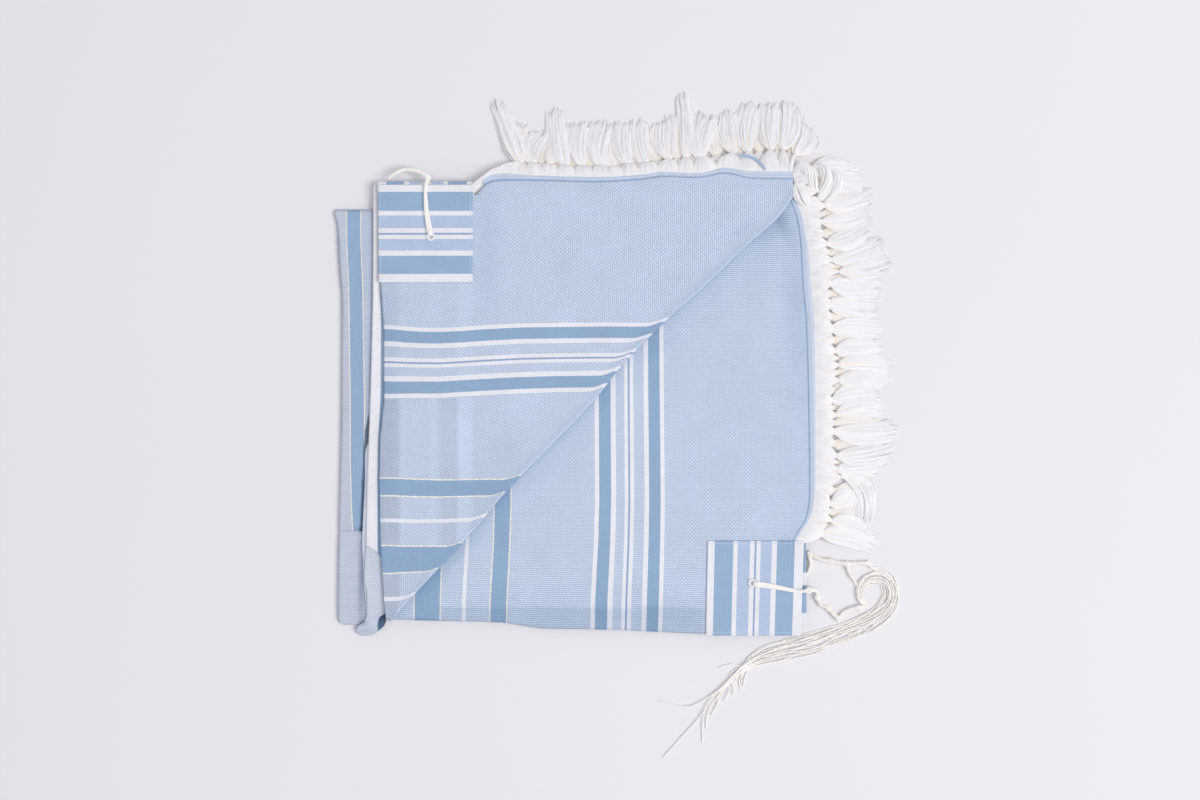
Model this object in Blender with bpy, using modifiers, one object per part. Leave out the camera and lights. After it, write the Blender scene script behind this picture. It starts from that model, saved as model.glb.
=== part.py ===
"""Folded prayer shawl (tallit) as closed solids: one for each stretch of cloth that shows, one for the
hidden layers, and one for each hem, corner patch, eyelet, fringe and tzitzit tassel.

Frame: metres, +Z up. The origin is the middle of the packet's flat underside. +X runs along the long
edge towards the fringed end, +Y towards the fold across the shawl's middle.
Sizes and tables below are in millimetres, and points become metres when a mesh is made."""

import math

import bmesh
import bpy
import numpy as np

for old in list(bpy.data.objects):
    bpy.data.objects.remove(old, do_unlink=True)

MM = 0.001

# ---------------------------------------------------------------- driving sizes, in mm
CLOTH = 1.2            # wall of the body cloth
PATCH = 1.0            # wall of a corner patch
HEM = 1.8              # height of the turned end hem
SEAM = 0.3             # gap kept between two pieces
LIE = 0.6              # gap under a piece that lies on another
SEWN = 0.5             # gap beside a sewn edge
LAYER = 1.6            # pitch of the hidden layers
LAYER_COUNT = 5
CORE_TOP = LAYER * LAYER_COUNT
UNDER_MID = CORE_TOP + SEAM + CLOTH / 2
LEG_MID = UNDER_MID + CLOTH + LIE           # the flap's lower leg, past its fold
FLAP_MID = LEG_MID + 2.2                    # the flap away from its fold
FLOOR_CLEAR = 0.5                           # lowest point of fringe and strings

# ---------------------------------------------------------------- collections and materials
shawl = bpy.data.collections.new("tallit_prayer_shawl")
cutters = bpy.data.collections.new("cutters")
bpy.context.scene.collection.children.link(shawl)
bpy.context.scene.collection.children.link(cutters)

LIGHT_BLUE = (0.53, 0.62, 0.77)
DEEP_BLUE = (0.30, 0.43, 0.60)
WHITE = (0.82, 0.82, 0.86)
FRINGE_WHITE = (0.84, 0.84, 0.85)
IVORY = (0.80, 0.78, 0.72)


def finish(name, colour, roughness=0.85):
    """A Principled material of its own for one piece."""
    material = bpy.data.materials.new(name)
    material.use_nodes = True
    shader = material.node_tree.nodes["Principled BSDF"]
    shader.inputs["Base Color"].default_value = (*colour, 1.0)
    shader.inputs["Roughness"].default_value = roughness
    shader.inputs["Metallic"].default_value = 0.0
    return material


def new_piece(name, mesh, colour):
    """A smooth-shaded object for this mesh, in the shawl's collection."""
    piece = bpy.data.objects.new(name, mesh)
    mesh.materials.append(finish(name, colour))
    mesh.shade_smooth()
    mesh.set_sharp_from_angle(angle=math.radians(50))
    shawl.objects.link(piece)
    return piece


# ---------------------------------------------------------------- shapes that several pieces use
def ease(value):
    """0 below 0, 1 above 1, smooth in between."""
    t = np.clip(value, 0.0, 1.0)
    return t * t * (3 - 2 * t)


def curve_through(points, count):
    """count points, evenly spaced along a Catmull-Rom curve through the given points."""
    p = np.asarray(points, float)
    p = np.vstack([2 * p[0] - p[1], p, 2 * p[-1] - p[-2]])
    t = np.linspace(0, 1, 12, endpoint=False)[:, None]
    spans = []
    for a, b, c, d in zip(p[:-3], p[1:-2], p[2:-1], p[3:]):
        spans.append(0.5 * (2 * b + (c - a) * t + (2 * a - 5 * b + 4 * c - d) * t**2
                            + (3 * b - a - 3 * c + d) * t**3))
    fine = np.vstack([*spans, p[-2:-1]])
    reach = np.concatenate([[0], np.cumsum(np.linalg.norm(np.diff(fine, axis=0), axis=1))])
    at = np.linspace(0, reach[-1], count)
    return np.stack([np.interp(at, reach, fine[:, k]) for k in range(fine.shape[1])], axis=1)


def grid_mesh(name, grid):
    """An open surface through a rows x columns grid of points."""
    rows, columns = grid.shape[:2]
    index = np.arange(rows * columns).reshape(rows, columns)
    corners = (index[:-1, :-1], index[:-1, 1:], index[1:, 1:], index[1:, :-1])
    quads = np.stack(corners, axis=-1).reshape(-1, 4)
    mesh = bpy.data.meshes.new(name)
    mesh.from_pydata((grid.reshape(-1, 3) * MM).tolist(), [], quads.tolist())
    return mesh


def cloth(name, grid, wall, colour):
    """A sheet of cloth: the grid is its middle surface, and Solidify gives it its wall."""
    piece = new_piece(name, grid_mesh(name, grid), colour)
    solidify = piece.modifiers.new("wall", "SOLIDIFY")
    solidify.thickness = wall * MM
    solidify.offset = 0.0
    solidify.use_even_offset = True
    return piece


def add_loft(bm, rings):
    """A closed body through rings of points, all with the same count, with a cap at each end."""
    made = [[bm.verts.new(p * MM) for p in ring] for ring in rings]
    count = len(made[0])
    faces = [bm.faces.new(made[0][::-1]), bm.faces.new(made[-1])]
    for low, high in zip(made[:-1], made[1:]):
        for i in range(count):
            j = (i + 1) % count
            faces.append(bm.faces.new((low[i], low[j], high[j], high[i])))
    bmesh.ops.recalc_face_normals(bm, faces=faces)


def loft(name, rings, colour):
    """One closed loft as a piece of its own."""
    bm = bmesh.new()
    add_loft(bm, rings)
    mesh = bpy.data.meshes.new(name)
    bm.to_mesh(mesh)
    bm.free()
    return new_piece(name, mesh, colour)


def sideways(path):
    """Level unit vectors at right angles to a path, on its left."""
    along = np.gradient(path, axis=0)
    side = np.stack([-along[:, 1], along[:, 0], np.zeros(len(path))], axis=1)
    return side / np.linalg.norm(side, axis=1, keepdims=True)


def strand_rings(path, radii, sides, twist=0.0):
    """Rings of a strand: a regular polygon of the given radius, square to the path, a corner at its top."""
    along = np.gradient(path, axis=0)
    along /= np.linalg.norm(along, axis=1, keepdims=True)
    side = sideways(path)
    up = np.cross(along, side)
    turn = np.arange(sides) * 2 * math.pi / sides + math.pi / 2 + twist
    ring = side[:, None] * np.cos(turn)[:, None] + up[:, None] * np.sin(turn)[:, None]
    return path[:, None] + ring * np.asarray(radii, float)[:, None, None]


# ---------------------------------------------------------------- hidden layers
# Corners of the packet, anticlockwise from lower left: x, y
CORE_CORNERS = ((-208.5, -216.5), (196.5, -230.5), (195.0, 199.0), (-208.5, 199.0))
# How far each hidden layer's edge lies inside those corners: left, bottom, right, top
LAYER_INSETS = (
    (0.0, 2.4, 1.6, 0.6),
    (0.6, 0.4, 0.0, 1.8),
    (0.0, 1.6, 2.6, 0.0),
    (0.8, 0.0, 0.6, 1.4),
    (0.0, 1.0, 1.4, 0.2),
)
CORNER_RADIUS = 7.0
CORNER_STEPS = 4
EDGE_STEPS = 3
GROOVE = 0.9           # how far a groove between two layers goes in


def core_ring(insets, inward, z):
    """The packet's outline with each side moved in by its inset and by inward, at height z."""
    left, bottom, right, top = (value + inward for value in insets)
    shift = ((left, bottom), (-right, bottom), (-right, -top), (left, -top))
    corners = np.asarray(CORE_CORNERS) + shift
    points = []
    for i in range(4):
        here, before, after = corners[i], corners[i - 1], corners[(i + 1) % 4]
        back = (before - here) / np.linalg.norm(before - here) * CORNER_RADIUS
        ahead = (after - here) / np.linalg.norm(after - here) * CORNER_RADIUS
        centre = here + back + ahead
        for k in range(CORNER_STEPS + 1):
            turn = k / CORNER_STEPS * math.pi / 2
            points.append(centre - ahead * math.cos(turn) - back * math.sin(turn))
        start = here + ahead
        end = after - ahead
        points.extend(start + (end - start) * k / EDGE_STEPS for k in range(1, EDGE_STEPS))
    return np.array([(x, y, z) for x, y in points])


def folded_layers():
    """Bulging edges, one for each layer, with a groove between each two, on a flat underside."""
    rings = [core_ring(LAYER_INSETS[0], GROOVE, 0.0)]
    for i, insets in enumerate(LAYER_INSETS):
        above = LAYER_INSETS[min(i + 1, LAYER_COUNT - 1)]
        deeper = [max(a, b) for a, b in zip(insets, above)]
        base = i * LAYER
        rings.append(core_ring(insets, 0.0, base + 0.3 * LAYER))
        rings.append(core_ring(insets, 0.0, base + 0.7 * LAYER))
        rings.append(core_ring(deeper, GROOVE, base + LAYER))
    return loft("folded_layers", rings, LIGHT_BLUE)


# ---------------------------------------------------------------- folds that stick out at the left
CORE_SIDE = -209.3     # where these folds end, beside the hidden layers
FOLD_LOW_TOP = 5.4     # top of the lowest fold
FOLD_ARC = 6


def fold_ring(y_left, y_right, x_left, x_right, z_low, z_high):
    """Section of a fold: a half circle on its left, square on its right, with its cut at a slant."""
    radius = (z_high - z_low) / 2
    turn = np.linspace(-math.pi / 2, -3 * math.pi / 2, FOLD_ARC + 1)
    x = np.concatenate([[x_right], x_left + radius + radius * np.cos(turn), [x_right]])
    z = np.concatenate([[z_low], z_low + radius + radius * np.sin(turn), [z_high]])
    share = (x - x_left) / (x_right - x_left)
    return np.stack([x, y_left + (y_right - y_left) * share, z], axis=1)


# y, left x, top z
BACK_FOLD = (
    (192.0, -260.5, 4.4),
    (188.0, -261.5, 4.9),
    (176.0, -258.0, 5.4),
    (150.0, -257.0, 5.4),
    (121.0, -255.0, 5.4),
    (98.0, -253.5, 5.4),
    (0.0, -254.0, 5.4),
    (-60.0, -255.0, 5.4),
    (-124.0, -256.5, 5.4),
    (-130.0, -256.5, 4.6),
)
# y, left x, right x, top z
BACK_FOLD_LOWER = (
    (-130.6, -257.0, CORE_SIDE, 3.9),
    (-136.0, -257.5, CORE_SIDE, 5.2),
    (-160.0, -257.5, CORE_SIDE, 5.4),
    (-190.0, -257.0, CORE_SIDE, 5.4),
    (-212.0, -257.0, CORE_SIDE, 5.4),
    (-220.0, -256.5, -226.0, 5.0),
    (-224.0, -252.0, -234.0, 3.4),
)
WHITE_FOLD_LOW = FOLD_LOW_TOP + LIE
WHITE_FOLD_TOP = 10.0
WHITE_FOLD_CUT = (-144.5, -158.0)       # y of its slanted lower end, left and right
# y, left x
WHITE_FOLD = ((217.5, -221.0), (210.0, -221.3), (150.0, -221.5), (101.0, -222.0),
              (40.0, -223.5), (-13.0, -225.0), (-76.0, -227.5), (-120.0, -228.3))
# y, left x, right x, lowest z, highest z
TURNED_STRIP = (
    (-180.0, -228.3, CORE_SIDE, WHITE_FOLD_LOW, 9.6),
    (-205.0, -228.3, CORE_SIDE, WHITE_FOLD_LOW, 9.6),
    (-216.0, -228.8, CORE_SIDE, WHITE_FOLD_LOW, 9.2),
    (-221.5, -230.5, -210.5, WHITE_FOLD_LOW, 8.6),
    (-227.5, -236.5, -209.0, 1.6, 7.6),
    (-232.0, -239.0, -211.0, FLOOR_CLEAR, 5.6),
    (-235.8, -234.0, -218.0, FLOOR_CLEAR, 3.4),
)


def left_folds():
    """The striped fold, the plain fold below it, the white-edged fold and the strip turned over."""
    rings = [fold_ring(y, y, x, CORE_SIDE, 0.0, top) for y, x, top in BACK_FOLD]
    loft("back_fold", rings, LIGHT_BLUE)
    rings = [fold_ring(y, y, x, right, 0.0, top) for y, x, right, top in BACK_FOLD_LOWER]
    loft("back_fold_lower", rings, LIGHT_BLUE)
    rings = [fold_ring(y, y, x, CORE_SIDE, WHITE_FOLD_LOW, WHITE_FOLD_TOP) for y, x in WHITE_FOLD]
    cut_left, cut_right = WHITE_FOLD_CUT
    rings.append(fold_ring(cut_left, cut_right, -228.7, CORE_SIDE, WHITE_FOLD_LOW, WHITE_FOLD_TOP))
    loft("white_edge_fold", rings, WHITE)
    step = 0.8
    rings = [fold_ring(cut_left - step, cut_right - step, -228.7, CORE_SIDE, WHITE_FOLD_LOW, 9.6)]
    rings.extend(fold_ring(y, y, *row) for y, *row in TURNED_STRIP)
    loft("turned_strip", rings, LIGHT_BLUE)


# ---------------------------------------------------------------- top layers: their height
# Broad swells of the top layers: centre x, centre y, half length, half width, angle in degrees, height
SWELLS = (
    (-150.0, 40.0, 170.0, 45.0, 84.0, 0.5),
    (20.0, 120.0, 120.0, 40.0, 20.0, 0.6),
    (60.0, -120.0, 110.0, 45.0, 75.0, 0.5),
    (-60.0, -60.0, 120.0, 40.0, 46.0, 0.4),
)
RIGHT_DROOP = 1.8      # the end hem hangs this far below the packet's top at the right
TOP_DROOP = 3.4        # and the turned flap's hem this far at the top


def swell(x, y):
    """Height of the broad swells: the sum of soft oval mounds."""
    total = np.zeros(np.broadcast(x, y).shape)
    for cx, cy, length, width, angle, height in SWELLS:
        c, s = math.cos(math.radians(angle)), math.sin(math.radians(angle))
        along = ((x - cx) * c + (y - cy) * s) / length
        across = ((y - cy) * c - (x - cx) * s) / width
        total = total + height * np.exp(-along**2 - across**2)
    return total


def under_z(x, y):
    """Middle surface of the under panel: the packet's top, drooping past its right edge."""
    return UNDER_MID + swell(x, y) - RIGHT_DROOP * ease((x - 202.0) / 18.0)


def flap_droop(x, y):
    """How far the flap hangs past the packet's top edge, less at its corner patch."""
    return TOP_DROOP * ease((y - 206.0) / 26.0) * ease((x + 150.0) / 60.0)


def flap_z(x, y):
    """Middle surface of the turned flap away from its fold."""
    return FLAP_MID + swell(x, y) - flap_droop(x, y)


# ---------------------------------------------------------------- under panel and its end hem
UNDER_LEFT = -206.5
# x, y, width of the hem: the line where the cloth meets its turned end hem, from the top down
UNDER_HEM = (
    (197.6, 199.5, 5.2),
    (203.8, 180.0, 5.6),
    (207.2, 152.0, 6.6),
    (209.0, 117.0, 7.6),
    (212.4, 80.0, 7.4),
    (214.4, 20.0, 6.4),
    (215.4, -40.0, 5.6),
    (215.8, -79.0, 5.2),
    (215.2, -102.0, 5.0),
    (211.6, -118.0, 3.6),
    (204.4, -129.5, 3.2),
    (198.9, -138.8, 3.2),
)
UNDER_HEM_STEPS = 17
# x, y of the edge under the corner patch, from the hem down
UNDER_CORNER = ((203.0, -150.0), (204.0, -190.0), (203.5, -233.0))
# x, y of the long edge at the bottom
UNDER_BOTTOM = ((-206.5, -219.0), (-92.0, -222.0), (-54.0, -228.0), (26.0, -229.5),
                (66.0, -231.5), (112.0, -233.5), (204.0, -233.5))
UNDER_COLUMNS = 8
OVERHANG_START = 197.0      # the cloth droops from here on


def hem_line(rows, steps, surface):
    """Points along a hem's line at the height of the cloth's middle, and the hem's width at each."""
    line = curve_through(rows, steps)
    width = line[:, 2].copy()
    line[:, 2] = surface(line[:, 0], line[:, 1])
    return line, width


def beside(line, near, far):
    """The two lines at these distances to the left of a line."""
    out = sideways(line)
    return line + out * np.reshape(near, (-1, 1)), line + out * np.reshape(far, (-1, 1))


def band_between(name, inner, outer, height, colour):
    """A flat band with rounded edges between two lines."""
    across = outer - inner
    rise = np.array([0.0, 0.0, height / 2])
    near = inner + across * 0.15
    far = outer - across * 0.15
    rings = np.stack([inner, near + rise, far + rise, outer, far - rise, near - rise], axis=1)
    return loft(name, rings, colour)


def under_panel():
    """Rows run across from the left edge to the hem, and the lowest rows follow the bottom edge."""
    line, width = hem_line(UNDER_HEM, UNDER_HEM_STEPS, under_z)
    right = np.vstack([line[:, :2], UNDER_CORNER])
    y = right[:, 1:]
    start = np.minimum(OVERHANG_START, right[:, :1] - 1.5)
    share = np.linspace(0, 1, UNDER_COLUMNS)[None, :]
    x = np.hstack([UNDER_LEFT + (start - UNDER_LEFT) * share, right[:, :1]])
    edge_x, edge_y = np.array(UNDER_BOTTOM).T
    lowest = y.min()
    height = (y - lowest) / (y.max() - lowest)
    row_y = y + (np.interp(x, edge_x, edge_y) - lowest) * (1 - height) ** 3
    row_y[:, -1:] = y
    grid = np.stack([x, row_y, under_z(x, row_y)], axis=-1)
    cloth("under_panel", grid, CLOTH, LIGHT_BLUE)
    inner, outer = beside(line, SEWN, SEWN + width)
    band_between("end_hem_under", inner, outer, HEM, LIGHT_BLUE)
    return outer


# ---------------------------------------------------------------- turned flap and its end hem
# x, y along the diagonal fold, from lower left to upper right
FOLD_LINE = ((-203.0, -219.5), (-178.0, -191.0), (-125.0, -134.0), (-86.0, -88.0), (-39.0, -40.0),
             (1.0, 2.0), (26.0, 34.0), (70.0, 79.0), (106.0, 111.0), (151.0, 154.0), (184.0, 184.0),
             (199.0, 205.0))
# share of the fold's length, x, y of the flap's edge: up its long edge, then under its corner patch
FLAP_SIDE = (
    (0.000, -207.5, -218.5),
    (0.060, -209.5, -199.0),
    (0.140, -213.0, -149.0),
    (0.220, -214.5, -79.0),
    (0.290, -214.0, -39.0),
    (0.350, -209.8, 1.0),
    (0.410, -210.2, 76.0),
    (0.450, -213.5, 118.0),
    (0.500, -213.5, 213.5),
    (0.550, -170.0, 213.5),
    (0.600, -126.0, 213.0),
    (0.615, -118.0, 205.0),
)
HEM_SHARE = 0.64       # the share where the hem begins
# x, y, width of the hem: the line where the flap meets its turned end hem, from the left
FLAP_HEM = (
    (-110.0, 216.0, 5.4),
    (-97.0, 220.5, 6.8),
    (-59.0, 220.5, 4.8),
    (3.0, 219.0, 4.8),
    (46.0, 221.4, 4.6),
    (68.0, 224.4, 4.4),
    (105.0, 223.4, 4.2),
    (131.0, 227.8, 5.4),
    (153.0, 223.0, 7.0),
    (173.0, 222.0, 7.4),
    (199.0, 221.6, 7.8),
)
FLAP_HEM_STEPS = 16
EDGE_CELL = 24.0       # width of the outermost cells, which droop
FLAP_CELLS = 3         # across the rest of the flap's flat
BEND_CELLS = 4         # round the fold
LEG_REACH = 26.0       # how far the lower leg goes back under
FOLD_PUFF = 1.4        # extra height beside the fold


def flap_fold(share):
    """The point of the fold line at this share of its length."""
    line = curve_through(FOLD_LINE, 201)
    at = np.linspace(0, 1, len(line))
    return np.stack([np.interp(share, at, line[:, k]) for k in range(2)], axis=1)


def turned_flap():
    """Each row runs from the outer edge to the fold, round it and back under for a short way."""
    line, hem_width = hem_line(FLAP_HEM, FLAP_HEM_STEPS, flap_z)
    side_share, side_x, side_y = np.array(FLAP_SIDE).T
    share = np.concatenate([side_share, np.linspace(HEM_SHARE, 1, FLAP_HEM_STEPS)])
    edge = np.vstack([np.stack([side_x, side_y], axis=1), line[:, :2]])
    fold = flap_fold(share)
    width = np.linalg.norm(edge - fold, axis=1)[:, None]
    outward = (edge - fold) / width
    bend = np.minimum((FLAP_MID - LEG_MID + FOLD_PUFF) / 2, width * 0.3)
    inset = width - np.minimum(EDGE_CELL, width * 0.4)
    turn = np.linspace(0, math.pi, BEND_CELLS + 1)
    steps = np.linspace(1, 0, FLAP_CELLS, endpoint=False)[None, :]
    leg = np.minimum(LEG_REACH, width * 0.75)
    far = np.hstack([width, bend + (inset - bend) * steps, bend - bend * np.sin(turn), leg])
    level = np.concatenate([np.zeros(FLAP_CELLS + 1), (1 - np.cos(turn)) / 2, [1.0]])
    xy = fold[:, None] + outward[:, None] * far[..., None]
    x, y = xy[..., 0], xy[..., 1]
    sink = swell(x, y) - flap_droop(x, y)
    puff = (2 * bend - (FLAP_MID - LEG_MID)) * np.exp(-((far / 30.0) ** 2))
    z_top = FLAP_MID + sink + puff
    z_leg = LEG_MID + sink
    z = z_top + (z_leg - z_top) * level
    cloth("turned_flap", np.stack([x, y, z], axis=-1), CLOTH, LIGHT_BLUE)
    inner, outer = beside(line, SEWN, SEWN + hem_width)
    band_between("end_hem_flap", inner, outer, HEM, LIGHT_BLUE)
    return outer


# ---------------------------------------------------------------- corner patches and eyelets
# corners anticlockwise from lower left: x, y
PATCH_UNDER = ((112.0, -234.8), (207.0, -234.8), (210.0, -140.0), (113.9, -140.0))
PATCH_UNDER_BACK = ((198.8, -225.5), (213.4, -223.0), (212.6, -142.0), (198.8, -142.0))
PATCH_FLAP = ((-215.0, 118.4), (-121.2, 118.6), (-121.2, 216.0), (-215.8, 216.0))
PATCH_FLAP_BACK = ((-217.0, 124.0), (-121.8, 124.0), (-121.0, 219.8), (-217.5, 219.6))
PATCH_CELLS = 5
PATCH_RISE = CLOTH / 2 + LIE + PATCH / 2            # from the cloth's middle to the patch's middle
EYELET_UNDER = (158.3, -182.3)
EYELET_FLAP = (-163.0, 164.0)
EYELET_RING = 3.2      # middle radius of the stitched ring
EYELET_BEAD = 1.2      # half its width
EYELET_FLATTEN = 0.5
EYELET_LIFT = PATCH / 2 + SEAM + EYELET_BEAD * EYELET_FLATTEN


def patch_grid(corners, surface, cells_x=PATCH_CELLS, cells_y=PATCH_CELLS):
    """A four-cornered grid laid on a surface that gives the height at x, y."""
    low_left, low_right, high_right, high_left = (np.array(c) for c in corners)
    u = np.linspace(0, 1, cells_x + 1)[None, :, None]
    v = np.linspace(0, 1, cells_y + 1)[:, None, None]
    xy = (low_left * (1 - u) + low_right * u) * (1 - v) + (high_left * (1 - u) + high_right * u) * v
    x, y = xy[..., 0], xy[..., 1]
    return np.stack([x, y, surface(x, y)], axis=-1)


def patch_under_z(x, y):
    return UNDER_MID + swell(x, y) + PATCH_RISE


def patch_flap_z(x, y):
    return flap_z(x, y) + PATCH_RISE


def patch_flap_back_z(x, y):
    return flap_z(x, y) - PATCH_RISE


def patch_under_back_z(x, y):
    """The hidden corner's patch lies at the height of the top hidden layer."""
    return 6.0 + 0.0 * x


def eyelet(name, centre, surface):
    """A stitched ring: a torus pressed flat onto the patch."""
    x, y = centre
    z = float(surface(x, y)) + EYELET_LIFT
    bpy.ops.mesh.primitive_torus_add(major_segments=14, minor_segments=5,
                                     major_radius=EYELET_RING * MM, minor_radius=EYELET_BEAD * MM)
    ring = bpy.context.object
    ring.name = name
    for vertex in ring.data.vertices:
        vertex.co.z *= EYELET_FLATTEN
    ring.location = (x * MM, y * MM, z * MM)
    ring.data.materials.append(finish(name, WHITE))
    ring.data.shade_smooth()
    for collection in list(ring.users_collection):
        collection.objects.unlink(ring)
    shawl.objects.link(ring)


def patches_and_eyelets():
    cloth("corner_patch_under", patch_grid(PATCH_UNDER, patch_under_z), PATCH, DEEP_BLUE)
    cloth("corner_patch_flap", patch_grid(PATCH_FLAP, patch_flap_z), PATCH, DEEP_BLUE)
    cloth("corner_patch_flap_back", patch_grid(PATCH_FLAP_BACK, patch_flap_back_z), PATCH, DEEP_BLUE)
    cloth("corner_patch_under_back", patch_grid(PATCH_UNDER_BACK, patch_under_back_z, 1, 4), PATCH, WHITE)
    eyelet("eyelet_under", EYELET_UNDER, patch_under_z)
    eyelet("eyelet_flap", EYELET_FLAP, patch_flap_z)


# ---------------------------------------------------------------- knotted end fringes
STRIP_WIDTH = 3.4
STRIP_HEIGHT = 1.4
STRIP_DROP = 0.3       # the strip lies a little lower than the hem it hangs from
STRIP_SAMPLES = 121
KNOT_RADIUS = 4.0
LOCK_SIDES = 3
LOCK_ROOT = 1.7        # radius of a lock at its knot, in its middle and at its tip
LOCK_MIDDLE = 3.6
LOCK_TIP = 2.5
KNOT_HEIGHT = 6.0
LOCK_REST = 3.9        # height of a lock's middle line where it lies on the surface
TIP_SCATTER = 3.0      # how unevenly a tassel's locks end
LOCK_TWIST = 0.25      # how far a lock turns about its own middle line, in radians

# Each tassel: knot x, y, tip x, y, width at the tip, sideways bow, locks
TOP_TASSELS = (
    (-73.0, 240.0, -98.0, 302.0, 12.0, 0.0, 3),
    (-61.0, 240.0, -57.0, 274.0, 24.0, 6.0, 4),
    (-45.0, 239.0, -37.0, 272.0, 20.0, -5.0, 4),
    (-28.0, 237.0, -41.0, 298.0, 14.0, 3.0, 3),
    (-11.0, 236.0, -12.0, 282.0, 20.0, 4.0, 4),
    (7.0, 237.0, 10.0, 285.0, 20.0, 4.0, 4),
    (20.0, 236.0, -10.0, 266.0, 10.0, 5.0, 3),
    (34.0, 239.0, 27.0, 284.0, 18.0, 3.0, 4),
    (52.0, 240.0, 44.0, 287.0, 14.0, 3.0, 3),
    (76.0, 243.0, 72.0, 285.0, 24.0, 3.0, 4),
    (92.0, 246.0, 90.0, 312.0, 10.0, -3.0, 3),
    (106.0, 246.0, 112.0, 292.0, 24.0, 3.0, 4),
    (141.0, 250.0, 135.0, 294.0, 12.0, 2.0, 3),
    (155.0, 252.0, 160.0, 302.0, 22.0, 3.0, 4),
    (178.0, 254.0, 177.0, 302.0, 16.0, 2.0, 3),
    (190.0, 255.0, 200.0, 302.0, 22.0, -3.0, 4),
    (203.0, 250.0, 219.0, 277.0, 18.0, -3.0, 4),
)
RIGHT_TASSELS = (
    (217.0, 227.0, 268.0, 233.0, 14.0, 5.0, 3),
    (226.0, 211.0, 272.0, 218.0, 14.0, 6.0, 3),
    (234.0, 197.0, 284.0, 207.0, 16.0, -5.0, 4),
    (229.0, 180.0, 279.0, 190.0, 20.0, -4.0, 4),
    (235.0, 158.0, 279.0, 176.0, 16.0, -4.0, 3),
    (241.0, 142.0, 294.0, 160.0, 14.0, -4.0, 3),
    (248.0, 130.0, 301.0, 141.0, 20.0, -2.0, 4),
    (240.0, 119.0, 295.0, 112.0, 16.0, -3.0, 4),
    (239.0, 98.0, 292.0, 93.0, 22.0, -2.0, 4),
    (242.0, 72.0, 296.0, 71.0, 16.0, 2.0, 4),
    (244.0, 50.0, 291.0, 53.0, 14.0, 2.0, 3),
    (247.0, 36.0, 302.0, 37.0, 14.0, 3.0, 3),
    (247.0, 21.0, 303.0, 20.0, 14.0, 2.0, 3),
    (240.0, 0.0, 288.0, 10.0, 14.0, 3.0, 3),
    (244.0, -14.0, 292.0, -6.0, 18.0, 5.0, 4),
    (243.0, -30.0, 309.0, -31.0, 18.0, -4.0, 4),
    (245.0, -55.0, 303.0, -46.0, 16.0, -3.0, 4),
    (247.0, -68.0, 298.0, -62.0, 16.0, -2.0, 3),
    (250.0, -76.0, 277.0, -123.0, 16.0, 12.0, 4),
    (238.0, -104.0, 268.0, -99.0, 14.0, 5.0, 3),
    (240.0, -121.0, 279.0, -133.0, 14.0, 3.0, 3),
    (232.0, -134.0, 290.0, -147.0, 16.0, 3.0, 4),
)
ROOT_WIDTHS = (15.0, 8.0, 4.0)          # of a tassel's yarns at the strip, half way and at the knot
ROOT_HEIGHTS = (1.2, 1.8, 3.0)


def root_rings(strip, knot):
    """The yarns between strip and knot: flat and wide along the strip, narrow at the knot."""
    at = np.argmin(np.linalg.norm(strip[:, :2] - knot[:2], axis=1))
    nearest = strip[at]
    path = np.stack([nearest, nearest * 0.45 + knot * 0.55, knot])
    side = sideways(path)
    side[0] = -(strip[min(at + 1, len(strip) - 1)] - strip[max(at - 1, 0)])
    side[0] /= np.linalg.norm(side[0])
    rise = np.array([0.0, 0.0, 0.5])
    rings = []
    for point, across, width, height in zip(path, side, ROOT_WIDTHS, ROOT_HEIGHTS):
        half = across * width / 2
        rings.append([point - half + rise * height, point + half + rise * height,
                      point + half - rise * height, point - half - rise * height])
    return np.array(rings)


def lock_path(knot, tip, bow, share, width, length):
    """Middle line of one lock: from the knot to its own place across the tip, bowed sideways."""
    ahead = (tip - knot) * length
    side = np.array([-ahead[1], ahead[0], 0.0])
    side /= np.linalg.norm(side)
    t = np.array([0.0, 0.34, 0.68, 1.0])[:, None]
    spread = share * width / 2 * t**0.7
    path = knot + ahead * t + side * (spread + bow * np.sin(math.pi * t))
    drop = ease(t[:, 0] * 1.6)
    path[:, 2] = knot[2] + (tip[2] - knot[2]) * drop
    return path


def add_tassel(bm, strip, row, number):
    """One tassel: its yarns from the strip, its knot, and its locks."""
    knot_x, knot_y, tip_x, tip_y, width, bow, locks = row
    lift = 0.7 * math.sin(number * 2.4)
    knot = np.array([knot_x, knot_y, KNOT_HEIGHT + lift])
    tip = np.array([tip_x, tip_y, LOCK_REST + 0.4 * lift])
    add_loft(bm, root_rings(strip, knot))
    ball = bmesh.ops.create_uvsphere(bm, u_segments=5, v_segments=3, radius=KNOT_RADIUS * MM)
    for vertex in ball["verts"]:
        vertex.co.x += knot[0] * MM
        vertex.co.y += knot[1] * MM
        vertex.co.z = vertex.co.z * 0.85 + knot[2] * MM
    for k in range(locks):
        share = 2 * k / (locks - 1) - 1
        wave = math.sin(number * 1.7 + k * 2.3)
        length = 1 + TIP_SCATTER * wave / np.linalg.norm(tip - knot)
        start = knot + (0.4 * wave, -0.3 * wave, 0.6 * wave)
        path = lock_path(start, tip + (0, 0, 0.5 * wave), bow, share, width - 2 * LOCK_TIP, length)
        radii = (LOCK_ROOT, LOCK_MIDDLE, LOCK_MIDDLE - 0.3, LOCK_TIP)
        add_loft(bm, strand_rings(path, radii, LOCK_SIDES, LOCK_TWIST * wave))


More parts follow.
